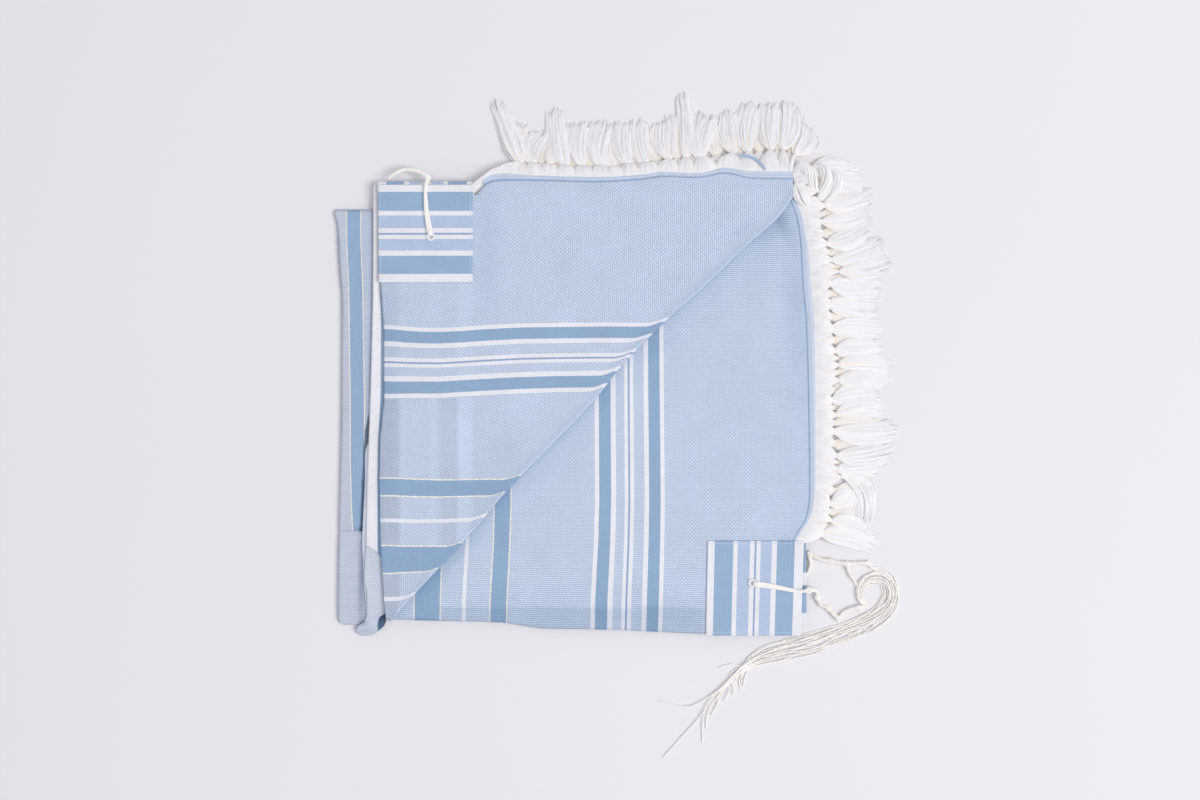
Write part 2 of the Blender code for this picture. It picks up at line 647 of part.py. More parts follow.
def outer_skin(mesh):
    """Keeps the largest connected skin, so that pockets closed in between crossing strands fill up."""
    bm = bmesh.new()
    bm.from_mesh(mesh)
    bmesh.ops.remove_doubles(bm, verts=bm.verts, dist=0.01 * MM)
    waiting = set(bm.verts)
    skins = []
    while waiting:
        reached = [waiting.pop()]
        for vertex in reached:
            for edge in vertex.link_edges:
                other = edge.other_vert(vertex)
                if other in waiting:
                    waiting.remove(other)
                    reached.append(other)
        skins.append(reached)
    skins.sort(key=len)
    bmesh.ops.delete(bm, geom=[v for skin in skins[:-1] for v in skin], context="VERTS")
    bmesh.ops.dissolve_verts(bm, verts=[v for v in bm.verts if len(v.link_edges) == 2])
    bmesh.ops.triangulate(bm, faces=bm.faces)
    bm.to_mesh(mesh)
    bm.free()


def fused(name, base_rings, strands, colour):
    """A backing with its strands made one body with it by a union."""
    piece = loft(name, base_rings, colour)
    mesh = bpy.data.meshes.new(name + "_strands")
    strands.to_mesh(mesh)
    strands.free()
    cutter = bpy.data.objects.new(name + "_strands", mesh)
    cutters.objects.link(cutter)
    cutter.hide_render = True
    cutter.display_type = "WIRE"
    union = piece.modifiers.new("strands", "BOOLEAN")
    union.operation = "UNION"
    union.solver = "EXACT"
    union.use_self = True
    union.object = cutter
    bpy.context.view_layer.update()
    joined = bpy.data.meshes.new_from_object(piece.evaluated_get(bpy.context.evaluated_depsgraph_get()))
    outer_skin(joined)
    piece.modifiers.clear()
    piece.data = joined
    return piece


def fringe(name, hem_edge, tassels):
    """A strip beside the hem's outer edge, a little lower, with its tassels."""
    inner, outer = beside(hem_edge - (0, 0, STRIP_DROP), SEWN, SEWN + STRIP_WIDTH)
    strip = curve_through((inner + outer) / 2, STRIP_SAMPLES)
    strands = bmesh.new()
    for number, row in enumerate(tassels):
        add_tassel(strands, strip, row, number)
    middle = np.array([0.0, 0.0, STRIP_HEIGHT / 2])
    base = np.stack([inner - middle, inner + middle, outer + middle, outer - middle], axis=1)
    fused(name, base, strands, FRINGE_WHITE)


# ---------------------------------------------------------------- knotted tzitzit tassels
STRING = 0.75          # radius of a string
STRING_SIDES = 3
CORD_SIDES = 5
UPPER_STRINGS = 3.3    # height of the strings of the upper tassel, which lie on the lower one's
LOWER_STRINGS = 1.2
BRANCH_RISE = 0.13     # of the strings of the lower tassel's branch
# The doubled cord over each patch: x, y, height above the patch's middle
CORD_UNDER = ((158.0, -182.3, 1.3), (158.5, -182.4, 2.7), (160.6, -182.7, 3.8), (163.6, -183.1, 3.7),
              (166.6, -183.6, 2.4), (181.0, -185.8, 2.3), (198.0, -189.2, 2.4))
CORD_FLAP = ((-163.0, 163.7, 1.3), (-163.1, 164.2, 2.7), (-163.4, 166.3, 3.8), (-163.8, 169.3, 3.7),
             (-164.3, 172.3, 2.6), (-167.0, 189.0, 2.6), (-168.0, 206.0, 2.8))
CORD_RADIUS = 0.95
CORD_APART = 0.75      # from the middle between the two cords to each one's middle
# Knotted and wound heads: x, y, z, radius
HEAD_UNDER = ((203.0, -190.2, 13.4, 1.5), (209.0, -190.0, 13.7, 1.7), (214.6, -189.4, 12.6, 2.9),
              (220.5, -189.6, 8.0, 2.1), (224.2, -192.0, 4.6, 2.1), (224.6, -197.5, 3.4, 2.8),
              (228.0, -205.0, 3.0, 2.1), (236.0, -209.0, 3.0, 2.4), (246.0, -219.0, 3.2, 2.6),
              (250.0, -213.5, 3.2, 2.1), (258.0, -209.5, 3.0, 2.3), (266.5, -208.0, 3.4, 2.8),
              (273.0, -205.5, 3.6, 1.9))
HEAD_LOWER = ((205.0, -176.5, 2.6, 1.9), (214.0, -174.0, 2.8, 2.1), (218.0, -164.0, 3.0, 2.2),
              (217.0, -154.0, 3.4, 2.8), (228.0, -159.5, 3.0, 2.2), (238.0, -161.0, 3.4, 2.8),
              (246.0, -162.6, 3.0, 2.2), (254.5, -163.8, 3.4, 2.8), (266.0, -163.2, 3.0, 2.2),
              (275.5, -163.2, 3.2, 2.6), (278.8, -167.2, 2.4, 1.6))
HEAD_BRANCH = ((254.5, -163.8, 3.2, 2.0), (256.0, -171.0, 2.8, 2.0), (259.0, -177.0, 2.6, 1.9),
               (261.5, -180.5, 2.0, 1.3))
HEAD_FLAP = ((-168.0, 211.0, 17.5, 1.5), (-167.6, 216.5, 17.7, 1.8), (-165.8, 222.4, 15.8, 2.7),
             (-171.8, 228.0, 13.4, 2.1), (-179.0, 230.4, 12.4, 2.3), (-187.5, 231.6, 11.8, 2.1),
             (-195.0, 229.6, 12.0, 2.2), (-201.5, 225.6, 12.6, 1.9), (-205.6, 221.8, 13.2, 1.3))
HEAD_STEPS = 2         # rings for each row of a head's table
# Where a tassel's strings run together: x, y, half width
SWEEP_UNDER = ((273.0, -205.0, 1.2), (268.2, -198.5, 2.6), (268.6, -187.0, 3.6), (276.0, -178.8, 4.2),
               (288.0, -177.0, 5.0), (297.6, -185.0, 5.6), (299.4, -198.0, 6.6), (291.0, -212.0, 7.6),
               (274.0, -224.0, 8.0), (252.0, -234.5, 8.0), (226.0, -244.0, 8.0), (194.0, -252.0, 7.4),
               (165.0, -262.0, 5.2), (149.0, -270.0, 2.6))
SWEEP_LOWER = ((278.6, -167.6, 0.8), (288.0, -170.6, 2.4), (298.6, -178.0, 4.0), (302.6, -192.0, 4.6),
               (299.0, -207.0, 5.6), (286.0, -219.0, 6.6), (264.0, -229.0, 7.2), (236.0, -237.0, 7.0),
               (206.0, -242.0, 6.4), (178.0, -250.0, 5.4), (158.0, -262.0, 3.0))
SWEEP_BRANCH = ((261.5, -180.7, 0.6), (266.0, -185.5, 1.6), (272.0, -184.6, 2.0), (283.0, -182.0, 2.4),
                (292.0, -187.0, 2.6), (293.0, -199.0, 3.0), (284.0, -211.0, 3.0), (266.0, -220.0, 3.0),
                (240.0, -230.0, 3.0), (205.0, -242.0, 3.0), (176.0, -247.0, 2.6), (157.0, -259.0, 1.6))
# The free end of each string: x, y where it leaves, x, y on its way, x, y, z of its tip
ENDS_UNDER = (
    (123.0, -292.0, 95.0, -308.0, 66.0, -303.0, 1.2),
    (120.0, -297.0, 104.0, -322.0, 69.0, -358.0, 1.2),
    (118.0, -300.0, 110.0, -322.0, 108.0, -343.0, 1.2),
    (124.0, -298.0, 115.0, -316.0, 113.0, -330.0, 1.2),
    (128.0, -290.0, 124.0, -305.0, 119.0, -317.0, 1.4),
    (131.0, -288.0, 127.0, -300.0, 122.0, -311.0, 2.4),
    (135.0, -284.0, 137.0, -290.0, 133.0, -302.0, 3.0),
    (138.0, -280.0, 141.0, -287.0, 140.0, -296.0, 3.2),
)
ENDS_LOWER = (
    (147.0, -266.5, 139.0, -265.5, 126.0, -269.0, 1.2),
    (148.0, -271.0, 139.0, -277.0, 131.0, -283.0, 1.2),
    (150.0, -274.0, 147.0, -281.0, 146.0, -290.0, 1.2),
    (153.0, -275.0, 152.0, -282.0, 150.0, -288.0, 1.2),
)
ENDS_BRANCH = (
    (149.0, -266.0, 141.0, -272.0, 136.0, -276.0, 1.2),
    (151.0, -268.0, 146.0, -274.0, 142.0, -280.0, 1.2),
    (153.0, -270.0, 150.0, -277.0, 147.0, -284.0, 1.2),
)
STRING_UNEVEN = 0.2    # how far a string lies above or below its neighbours
STRING_STEPS = 14
END_STEPS = 4


def head_rings(rows):
    """A wound and knotted cord: a tube whose radius swells at each knot."""
    path = curve_through(rows, HEAD_STEPS * len(rows))
    return strand_rings(path[:, :3], path[:, 3], CORD_SIDES)


def add_strings(bm, sweep, ends, height):
    """Strings side by side along a sweep, each then going its own way to its tip."""
    middle = curve_through(sweep, STRING_STEPS)
    half = middle[:, 2].copy()
    middle[:, 2] = height
    side = sideways(middle)
    for k, (bend_x, bend_y, via_x, via_y, *tip) in enumerate(ends):
        share = 1 - 2 * k / (len(ends) - 1)
        uneven = math.sin(2.1 * k + 0.4)
        run = middle - side * (half * share)[:, None] + (0, 0, STRING_UNEVEN * uneven)
        free = [run[-1], (bend_x, bend_y, height), (via_x, via_y, (height + tip[2]) / 2), tip]
        path = np.vstack([run, curve_through(free, END_STEPS)[1:]])
        add_loft(bm, strand_rings(path, np.full(len(path), STRING), STRING_SIDES, 0.3 * uneven))


def add_doubled_cord(bm, rows, surface, head):
    """The two cords that lie side by side over a patch, from the eyelet into the head."""
    path = np.array(rows)
    path[:, 2] += surface(path[:, 0], path[:, 1])
    side = sideways(path) * CORD_APART
    into = np.array(head)[:2, :3]
    for aside in (side + (0, 0, 0.1), -side):
        cord = np.vstack([path + aside, into + aside[-1] / 2])
        add_loft(bm, strand_rings(cord, np.full(len(cord), CORD_RADIUS), 4))


def tzitzit_under():
    """The tassel of the corner that shows: from its eyelet over the patch to the surface beside it."""
    strands = bmesh.new()
    add_doubled_cord(strands, CORD_UNDER, patch_under_z, HEAD_UNDER)
    add_strings(strands, SWEEP_UNDER, ENDS_UNDER, UPPER_STRINGS)
    fused("tzitzit_under", head_rings(HEAD_UNDER), strands, IVORY)


def tzitzit_lower():
    """The tassel of the corner beneath it, which comes out under the patch in two branches."""
    strands = bmesh.new()
    add_loft(strands, head_rings(HEAD_BRANCH))
    add_strings(strands, SWEEP_LOWER, ENDS_LOWER, LOWER_STRINGS)
    add_strings(strands, SWEEP_BRANCH, ENDS_BRANCH, LOWER_STRINGS + BRANCH_RISE)
    fused("tzitzit_lower", head_rings(HEAD_LOWER), strands, IVORY)


def tzitzit_flap():
    """The start of the flap's tassel: over its patch, round and down behind the corner."""
    strands = bmesh.new()
    add_doubled_cord(strands, CORD_FLAP, patch_flap_z, HEAD_FLAP)
    fused("tzitzit_flap", head_rings(HEAD_FLAP), strands, IVORY)


folded_layers()
left_folds()
under_hem_edge = under_panel()
flap_hem_edge = turned_flap()
patches_and_eyelets()
fringe("fringe_top", flap_hem_edge, TOP_TASSELS)
fringe("fringe_right", under_hem_edge, RIGHT_TASSELS)
tzitzit_under()
tzitzit_lower()
tzitzit_flap()
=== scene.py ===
"""Folded tallit prayer shawl: the cloth, stripes, patches, fringe and tzitzit tassels of the real thing,
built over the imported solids. Points are worked out in millimetres and become metres in each mesh."""

import math

import bpy
import numpy as np
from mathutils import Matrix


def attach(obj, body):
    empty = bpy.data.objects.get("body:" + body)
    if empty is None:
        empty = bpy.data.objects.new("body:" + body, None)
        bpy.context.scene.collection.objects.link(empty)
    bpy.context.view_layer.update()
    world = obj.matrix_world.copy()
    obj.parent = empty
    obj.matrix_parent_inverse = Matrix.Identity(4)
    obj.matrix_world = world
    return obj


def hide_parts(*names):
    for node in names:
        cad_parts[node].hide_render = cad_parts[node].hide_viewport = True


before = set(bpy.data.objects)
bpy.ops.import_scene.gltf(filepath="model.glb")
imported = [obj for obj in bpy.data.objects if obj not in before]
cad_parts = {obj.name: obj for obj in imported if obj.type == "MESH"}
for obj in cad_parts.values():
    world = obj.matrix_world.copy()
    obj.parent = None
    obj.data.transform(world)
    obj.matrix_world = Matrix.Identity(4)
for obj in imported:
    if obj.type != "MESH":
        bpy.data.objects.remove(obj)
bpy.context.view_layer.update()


# ------------------------------
# Woven cloth. The shawl is one panel of a light blue ribbed weave, with its stripes woven
# in: satin bands in white and a deeper blue, and bands edged with a silver thread. Every stretch of
# it that shows shares this material, laid out by two cloth coordinates in millimetres: "across",
# the distance from the fringed end, and "along", which runs with the stripes.
# ------------------------------
MM = 0.001
PLAIN_YARN = (0.670, 0.744, 0.848)
PLAIN_GAP = (0.405, 0.500, 0.665)
DEEP_BLUE = (0.280, 0.405, 0.578)
THIN_BLUE = (0.300, 0.400, 0.580)
SATIN_WHITE = (0.830, 0.830, 0.875)
# Colours of the silver thread's flecks: its painted glints, and painted dark reflections among them
SILVER = (0.920, 0.905, 0.860)
SILVER_DARK_REFLECTION = (0.560, 0.520, 0.440)
STRETCHES = ((140, 224), (296, 428))  # where the stripes lie
RIB = 2  # pitch of the ribs, which run across the stripes
FLOAT = 3.5  # length of one raised yarn float on a rib
# Distance from the fringed end where each band begins, and what is woven from there on
STRIPES = (
    (0, "plain"), (144.4, "white"), (148.7, "deep"), (160.4, "white"), (165.5, "plain"),
    (175.8, "white"), (179.8, "thin"), (181.9, "white"), (185.3, "plain"), (194.4, "white"),
    (199.4, "deep"), (211.6, "white"), (216.4, "plain"),
    (300, "silver"), (301.5, "deep"), (316.8, "silver"), (318.4, "inner"),
    (341, "white"), (344.6, "plain"),
    (366, "silver"), (367.6, "deep"), (392, "silver"), (393.8, "plain"),
    (419, "white"), (423.2, "plain"),
)
BAND_COLOURS = {"plain": PLAIN_YARN, "inner": PLAIN_YARN, "gap": PLAIN_GAP, "white": SATIN_WHITE,
                "deep": DEEP_BLUE, "thin": THIN_BLUE, "silver": SILVER}
# What each band is: satin, silver thread, white
BAND_KINDS = {"plain": (0, 0, 0), "inner": (0, 0, 0), "white": (1, 0, 1), "deep": (1, 0, 0),
              "thin": (1, 0, 0), "silver": (0, 1, 0)}


class Wire:
    """An output socket of a shader node. Sums of wires and numbers become Math nodes."""

    def __init__(self, node, key=0):
        self.socket = node.outputs[key]
        self.tree = node.id_data

    def maths(self, operation, first, second=0):
        return Wire(add_node(self.tree, "Math", {0: first, 1: second}, operation=operation))

    def __add__(self, other):
        return self.maths("ADD", self, other)

    def __sub__(self, other):
        return self.maths("SUBTRACT", self, other)

    def __rsub__(self, other):
        return self.maths("SUBTRACT", other, self)

    def __mul__(self, other):
        return self.maths("MULTIPLY", self, other)

    def __truediv__(self, other):
        return self.maths("DIVIDE", self, other)

    def __rtruediv__(self, other):
        return self.maths("DIVIDE", other, self)


def set_inputs(node, inputs):
    """Sets a node's inputs, each to a number, a colour or a wire that is linked."""
    for key, value in dict(inputs).items():
        if isinstance(value, Wire):
            node.id_data.links.new(value.socket, node.inputs[key])
        else:
            node.inputs[key].default_value = value


def add_node(tree, kind, inputs=(), **settings):
    """A shader node with its settings, then its inputs."""
    node = tree.nodes.new("ShaderNode" + kind)
    for key, value in settings.items():
        setattr(node, key, value)
    set_inputs(node, inputs)
    return node


def wave(turn):
    """A sine between 0 and 1."""
    return turn.maths("SINE", turn) * 0.5 + 0.5


def noise(place, scale, detail, key="Fac"):
    """A noise texture's value at this place."""
    inputs = {"Vector": place, "Scale": scale, "Detail": detail}
    return Wire(add_node(place.tree, "TexNoise", inputs), key)


def vector(operation, first, *others):
    """The result of one Vector Math node, whose first value is a wire."""
    return Wire(add_node(first.tree, "VectorMath", dict(enumerate((first, *others))), operation=operation))


def scaled(colour, share):
    """A colour or vector times a wire."""
    return Wire(add_node(share.tree, "VectorMath", {0: colour, "Scale": share}, operation="SCALE"))


def mixed(share, first, second):
    """The colour between two colours at this share, which is a wire."""
    first, second = ((*c, 1) if isinstance(c, tuple) else c for c in (first, second))
    return Wire(add_node(share.tree, "Mix", {0: share, 6: first, 7: second}, data_type="RGBA"), 2)


def new_group(name, inputs, outputs):
    """An empty node group with its inputs and outputs: the tree, its input node and its output node."""
    tree = bpy.data.node_groups.new(name, "ShaderNodeTree")
    for label, kind, value in inputs:
        socket = tree.interface.new_socket(label, in_out="INPUT", socket_type="NodeSocket" + kind)
        if value is not None:
            socket.default_value = value
    for label, kind in outputs:
        tree.interface.new_socket(label, in_out="OUTPUT", socket_type="NodeSocket" + kind)
    return tree, tree.nodes.new("NodeGroupInput"), tree.nodes.new("NodeGroupOutput")


def cloudy(tree, size, amount):
    """Slow changes of tone, from the group slow_variation."""
    return Wire(add_node(tree, "Group", {"Size": size, "Amount": amount}, node_tree=slow_variation))


def float_group(place, length, rib, gap, wander):
    """The group weave, for floats of this length, rib, gap and wander."""
    inputs = {"Cloth": place, "Float Length": length, "Rib": rib, "Gap": gap, "Wander": wander}
    return add_node(place.tree, "Group", inputs, node_tree=weave)


def finish(shader, colour, height, strength, distance):
    """Gives a shader its colour, and a bump of this strength and distance."""
    inputs = {"Strength": strength, "Distance": distance, "Height": height}
    set_inputs(shader, {"Base Color": colour, "Normal": Wire(add_node(shader.id_data, "Bump", inputs))})


def weave_group():
    """Floats of yarn laid like bricks: their height, and a tone of its own for each one."""
    inputs = (("Cloth", "Vector", None), ("Float Length", "Float", 3.5), ("Rib", "Float", 2),
              ("Gap", "Float", 0.5), ("Wander", "Float", 0.5))
    tree, start, end = new_group("weave", inputs, (("Height", "Float"), ("Tone", "Float")))
    place = Wire(start, "Cloth")
    shift = vector("SUBTRACT", noise(place, 0.11, 2, "Color"), (0.5, 0.5, 0.5))
    bricks = add_node(tree, "TexBrick", {
        "Vector": vector("ADD", place, scaled(shift, Wire(start, "Wander"))),
        "Color1": (0, 0, 0, 1), "Color2": (1, 1, 1, 1), "Mortar": (0.5, 0.5, 0.5, 1),
        "Scale": 1, "Mortar Size": Wire(start, "Gap"), "Mortar Smooth": 1,
        "Brick Width": Wire(start, "Float Length"), "Row Height": Wire(start, "Rib")})
    set_inputs(end, {"Height": 1 - Wire(bricks, "Fac"), "Tone": Wire(bricks, "Color")})
    return tree


def satin_group():
    """Fine ridges along a satin band, each a little uneven in width and height."""
    inputs = (("Across", "Float", 0), ("Along", "Float", 0), ("Pitch", "Float", 1))
    tree, start, end = new_group("satin_ridges", inputs, (("Height", "Float"),))
    across = Wire(start, "Across")
    place = Wire(add_node(tree, "CombineXYZ", {0: across, 1: Wire(start, "Along") * 0.02}))
    turns = (noise(place, 0.9, 1) * 0.8 + across) / Wire(start, "Pitch")
    set_inputs(end, {"Height": wave(turns * (2 * math.pi))})
    return tree


def variation_group():
    """Slow, cloudy changes of tone over a piece, from its own Object coordinates."""
    inputs = (("Size", "Float", 0.06), ("Amount", "Float", 0.06))
    tree, start, end = new_group("slow_variation", inputs, (("Tone", "Float"),))
    swing = noise(Wire(add_node(tree, "TexCoord"), "Object"), 1 / Wire(start, "Size"), 3) - 0.5
    set_inputs(end, {"Tone": swing * Wire(start, "Amount") + 1})
    return tree


weave = weave_group()
satin_ridges = satin_group()
slow_variation = variation_group()


def ramp(share, rows, interpolation):
    """The colour of a ramp at this share: each row gives a stop's place and colour."""
    node = add_node(share.tree, "ValToRGB", {0: share})
    node.color_ramp.interpolation = interpolation
    stops = node.color_ramp.elements
    while len(stops) < len(rows):
        stops.new(1)
    for stop, (place, colour) in zip(stops, rows):
        stop.position = place
        stop.color = (*colour, 1)
    return Wire(node, "Color")


def band_ramp(across, table, values, stretches):
    """The value of the band at this distance across, from a table of where each band begins. Each
    stretch of the table has a ramp of its own, so that the bands keep their exact widths."""
    colour = None
    for low, high in stretches:
        rows = [(low, [band for start, band in table if start <= low][-1])]
        rows += [(start, band) for start, band in table if low < start < high]
        rows = [((start - low) / (high - low), values[band]) for start, band in rows]
        here = ramp((across - low) / (high - low), rows, "CONSTANT")
        colour = mixed(across.maths("GREATER_THAN", across, low), colour, here) if colour else here
    return colour


def new_material(name, roughness, sheen=0):
    """A Principled material of its own: the material, its tree and its shader."""
    material = bpy.data.materials.new(name)
    material.use_nodes = True
    shader = material.node_tree.nodes["Principled BSDF"]
    set_inputs(shader, {"Roughness": roughness, "Specular IOR Level": 0.25, "Sheen Weight": sheen,
                        "Sheen Roughness": 0.5})
    return material, material.node_tree, shader


def cloth_place(tree):
    """The cloth coordinates: the pair as one vector, then across and along."""
    place = Wire(add_node(tree, "UVMap", uv_map="cloth"))
    parts = add_node(tree, "SeparateXYZ", {0: place})
    return place, Wire(parts, 0), Wire(parts, 1)


def striped_cloth(name, table, colours, stretches, yarn, fine, bands=()):
    """Woven cloth with stripes. yarn is the float length, rib and gap of the plain parts, and bands
    are extra tones at distances along."""
    material, tree, shader = new_material(name, 0.78, 0.15)
    place, across, along = cloth_place(tree)
    edge = (noise(place, 0.55, 1) - 0.5) * 0.4 + across
    colour = band_ramp(edge, table, colours, stretches)
    kinds = add_node(tree, "SeparateXYZ", {0: band_ramp(edge, table, BAND_KINDS, stretches)})
    satin, silver, white = (Wire(kinds, k) for k in range(3))
    floats = float_group(place, *yarn, 0.5)
    height = Wire(floats, "Height")
    inputs = {"Across": across, "Along": along, "Pitch": fine}
    ridges = Wire(add_node(tree, "Group", inputs, node_tree=satin_ridges))
    # The gaps between floats are darker, and each float has its own tone
    woven = mixed((1 - satin) * (1 - height), colour, colours["gap"])
    tone = (Wire(floats, "Tone") * 0.09 + 0.955) * cloudy(tree, 0.03, 0.15)
    tone *= (noise(place, 0.7, 2) - 0.5) * (satin * -0.15 + 0.20) + 1
    tone *= (ridges - 1) * (satin * (white * 0.05 + 0.04)) + 1
    if bands:
        rows = [((start + BAND_SHIFT) / BAND_REACH, (value,) * 3) for start, value in bands]
        swing = ramp((along + BAND_SHIFT) / BAND_REACH, rows, "LINEAR") - 1
        strength = across.maths("GREATER_THAN", across, BANDS_FROM) * 0.75 + 0.25
        tone *= swing * ((1 - satin) * strength) + 1
    # Painted glint on the silver thread: bright flecks among dark ones stand for its glints and dark
    # reflections, and are a little raised
    painted_glint = Wire(add_node(tree, "MapRange", {0: noise(place, 0.9, 2), 1: 0.36, 2: 0.50}))
    thread = silver * painted_glint
    shown = mixed(silver, scaled(woven, tone), mixed(painted_glint, SILVER_DARK_REFLECTION, SILVER))
    # Painted shade from the shade attribute darkens the cloth and turns it bluer, as the light that is
    # left comes through the weave, and grey again in deep gaps; negative values paint light
    painted_shade = Wire(add_node(tree, "Attribute", attribute_name="shade"), "Fac")
    loss = vector("MULTIPLY_ADD", painted_shade, (0, -0.22, -0.45), (-1, -0.78, -0.55))
    left = vector("MULTIPLY_ADD", painted_shade, loss, (1, 1, 1))
    raised = Wire(add_node(tree, "Mix", {0: satin, 2: height, 3: ridges * 0.35}))
    finish(shader, vector("MULTIPLY", shown, left), thread * 0.6 + raised, 0.7, 0.00045)
    set_inputs(shader, {"Metallic": thread * 0.2, "Roughness": thread * -0.35 + (satin * -0.2 + 0.8)})
    return material


woven_cloth = striped_cloth("woven_cloth", STRIPES, BAND_COLOURS, STRETCHES, (FLOAT, RIB, 0.80), 1.3)
# Bands of thicker and thinner weft towards the long edge of the turned flap: distance along, tone
BAND_SHIFT = 220
BAND_REACH = 300
BANDS_FROM = 217.6  # from this far across they are at their full strength
WEFT_BANDS = ((-215, 0.84), (-196, 0.86), (-192, 1.03), (-168, 1), (-160, 1.07),
              (-155, 1), (-151, 0.93), (-138, 0.93), (-134, 1.1), (-124, 1.07),
              (-119, 0.98), (-96, 1), (-60, 1.03), (20, 1.02))
flap_cloth = striped_cloth("flap_cloth", STRIPES, BAND_COLOURS, STRETCHES, (FLOAT, RIB, 0.80), 1.3,
                           WEFT_BANDS)


# ------------------------------
# Hidden layers. The shawl is folded in half across and in four along, so five more layers lie under
# the ones that show. Only their soft edges are seen, one above another and not quite in line.
# ------------------------------
LAYER = 1.6
CORE_CORNERS = ((-208.5, -216.5), (196.5, -230.5), (195, 199), (-208.5, 199))
LAYER_INSETS = ((0, 2.4, 1.6, 0.6), (0.6, 0.4, 0, 1.8), (0, 1.6, 2.6, 0),
                (0.8, 0, 0.6, 1.4), (0, 1, 1.4, 0.2))
CORNER_RADIUS = 7
GROOVE = 0.9
FRINGED_END = 213  # x of the fringed end, from which the stripes are counted
SHARP_ANGLE = math.radians(60)
BOTTOM_SAG = 1.1  # the top layers sag this far over the packet's bottom edge


def ease(value):
    """0 below 0, 1 above 1, and three squares less two cubes of the value in between."""
    t = np.clip(value, 0, 1)
    return t * t * (3 - 2 * t)


def grid_faces(rows, columns, around=False, first=0, closed=False):
    """Quads between the neighbours of a rows x columns grid, closed in columns where around, and in
    rows where closed."""
    index = first + np.arange(rows * columns).reshape(rows, columns)
    if closed:
        index = np.vstack([index, index[:1]])
    if around:
        index = np.hstack([index, index[:, :1]])
    faces = np.stack([index[:-1, :-1], index[:-1, 1:], index[1:, 1:], index[1:, :-1]], axis=-1)
    return faces.reshape(-1, 4)


def new_piece(name, points, faces, cloth_map, material, nodes):
    """A smooth-shaded object that rides on the shawl's body and stands for these nodes."""
    mesh = bpy.data.meshes.new(name)
    mesh.from_pydata((np.reshape(points, (-1, 3)) * MM).tolist(), [], faces)
    corner = np.empty(len(mesh.loops), dtype=np.int32)
    mesh.loops.foreach_get("vertex_index", corner)
    layer = mesh.uv_layers.new(name="cloth")
    layer.data.foreach_set("uv", np.reshape(cloth_map, (-1, 2))[corner].ravel())
    mesh.materials.append(material)
    mesh.shade_smooth()
    mesh.set_sharp_from_angle(angle=SHARP_ANGLE)
    piece = bpy.data.objects.new(name, mesh)
    bpy.context.scene.collection.objects.link(piece)
    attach(piece, "root")
    if nodes:
        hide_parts(*nodes)
    return piece


def sheet_piece(name, grids, wall, material, nodes):
    """A piece of cloth: each grid of points with its cloth coordinates is a middle surface, and
    Solidify gives it its wall."""
    faces = []
    first = 0
    for points, _ in grids:
        faces.extend(grid_faces(*points.shape[:2], first=first).tolist())
        first += points.shape[0] * points.shape[1]
    points = np.concatenate([p.reshape(-1, 3) for p, _ in grids])
    cloth_map = np.concatenate([c.reshape(-1, 2) for _, c in grids])
    piece = new_piece(name, points, faces, cloth_map, material, nodes)
    solidify = piece.modifiers.new("wall", "SOLIDIFY")
    solidify.thickness = wall * MM
    solidify.offset = 0
    solidify.use_even_offset = True
    return piece


def add_shade(piece, rule):
    """Keeps the painted shade of each point of a piece, by a rule of its x and y in millimetres; negative
    values are painted light.
    """
    points = np.empty(len(piece.data.vertices) * 3)
    piece.data.vertices.foreach_get("co", points)
    x, y, _ = points.reshape(-1, 3).T / MM
    piece.data.attributes.new("shade", "FLOAT", "POINT").data.foreach_set("value", rule(x, y))


def bottom_sag(x, y):
    """How far the top layers sag at the packet's bottom edge: nothing 24 mm in, then more and more."""
    edge = np.interp(x, (-206.5, -92, -54, 112), (-219, -222, -228, -233.5))
    return BOTTOM_SAG * (1 - ease((y - edge) / 24))


def core_outline(insets, inward):
    """The packet's outline with each side moved in, its corners quarter ellipses."""
    left, bottom, right, top = (value + inward for value in insets)
    corners = np.array(CORE_CORNERS) + ((left, bottom), (-right, bottom), (-right, -top), (left, -top))
    turn = np.linspace(0, math.pi / 2, 9)[:, None]
    share = np.linspace(0, 1, 62)[1:-1, None]
    pieces = []
    for i in range(4):
        here, before, after = corners[i], corners[i - 1], corners[(i + 1) % 4]
        back = (before - here) / np.linalg.norm(before - here) * CORNER_RADIUS
        ahead = (after - here) / np.linalg.norm(after - here) * CORNER_RADIUS
        pieces.append(here + back + ahead - ahead * np.cos(turn) - back * np.sin(turn))
        pieces.append(here + ahead + (after - here - 2 * ahead) * share)
    return np.concatenate(pieces)


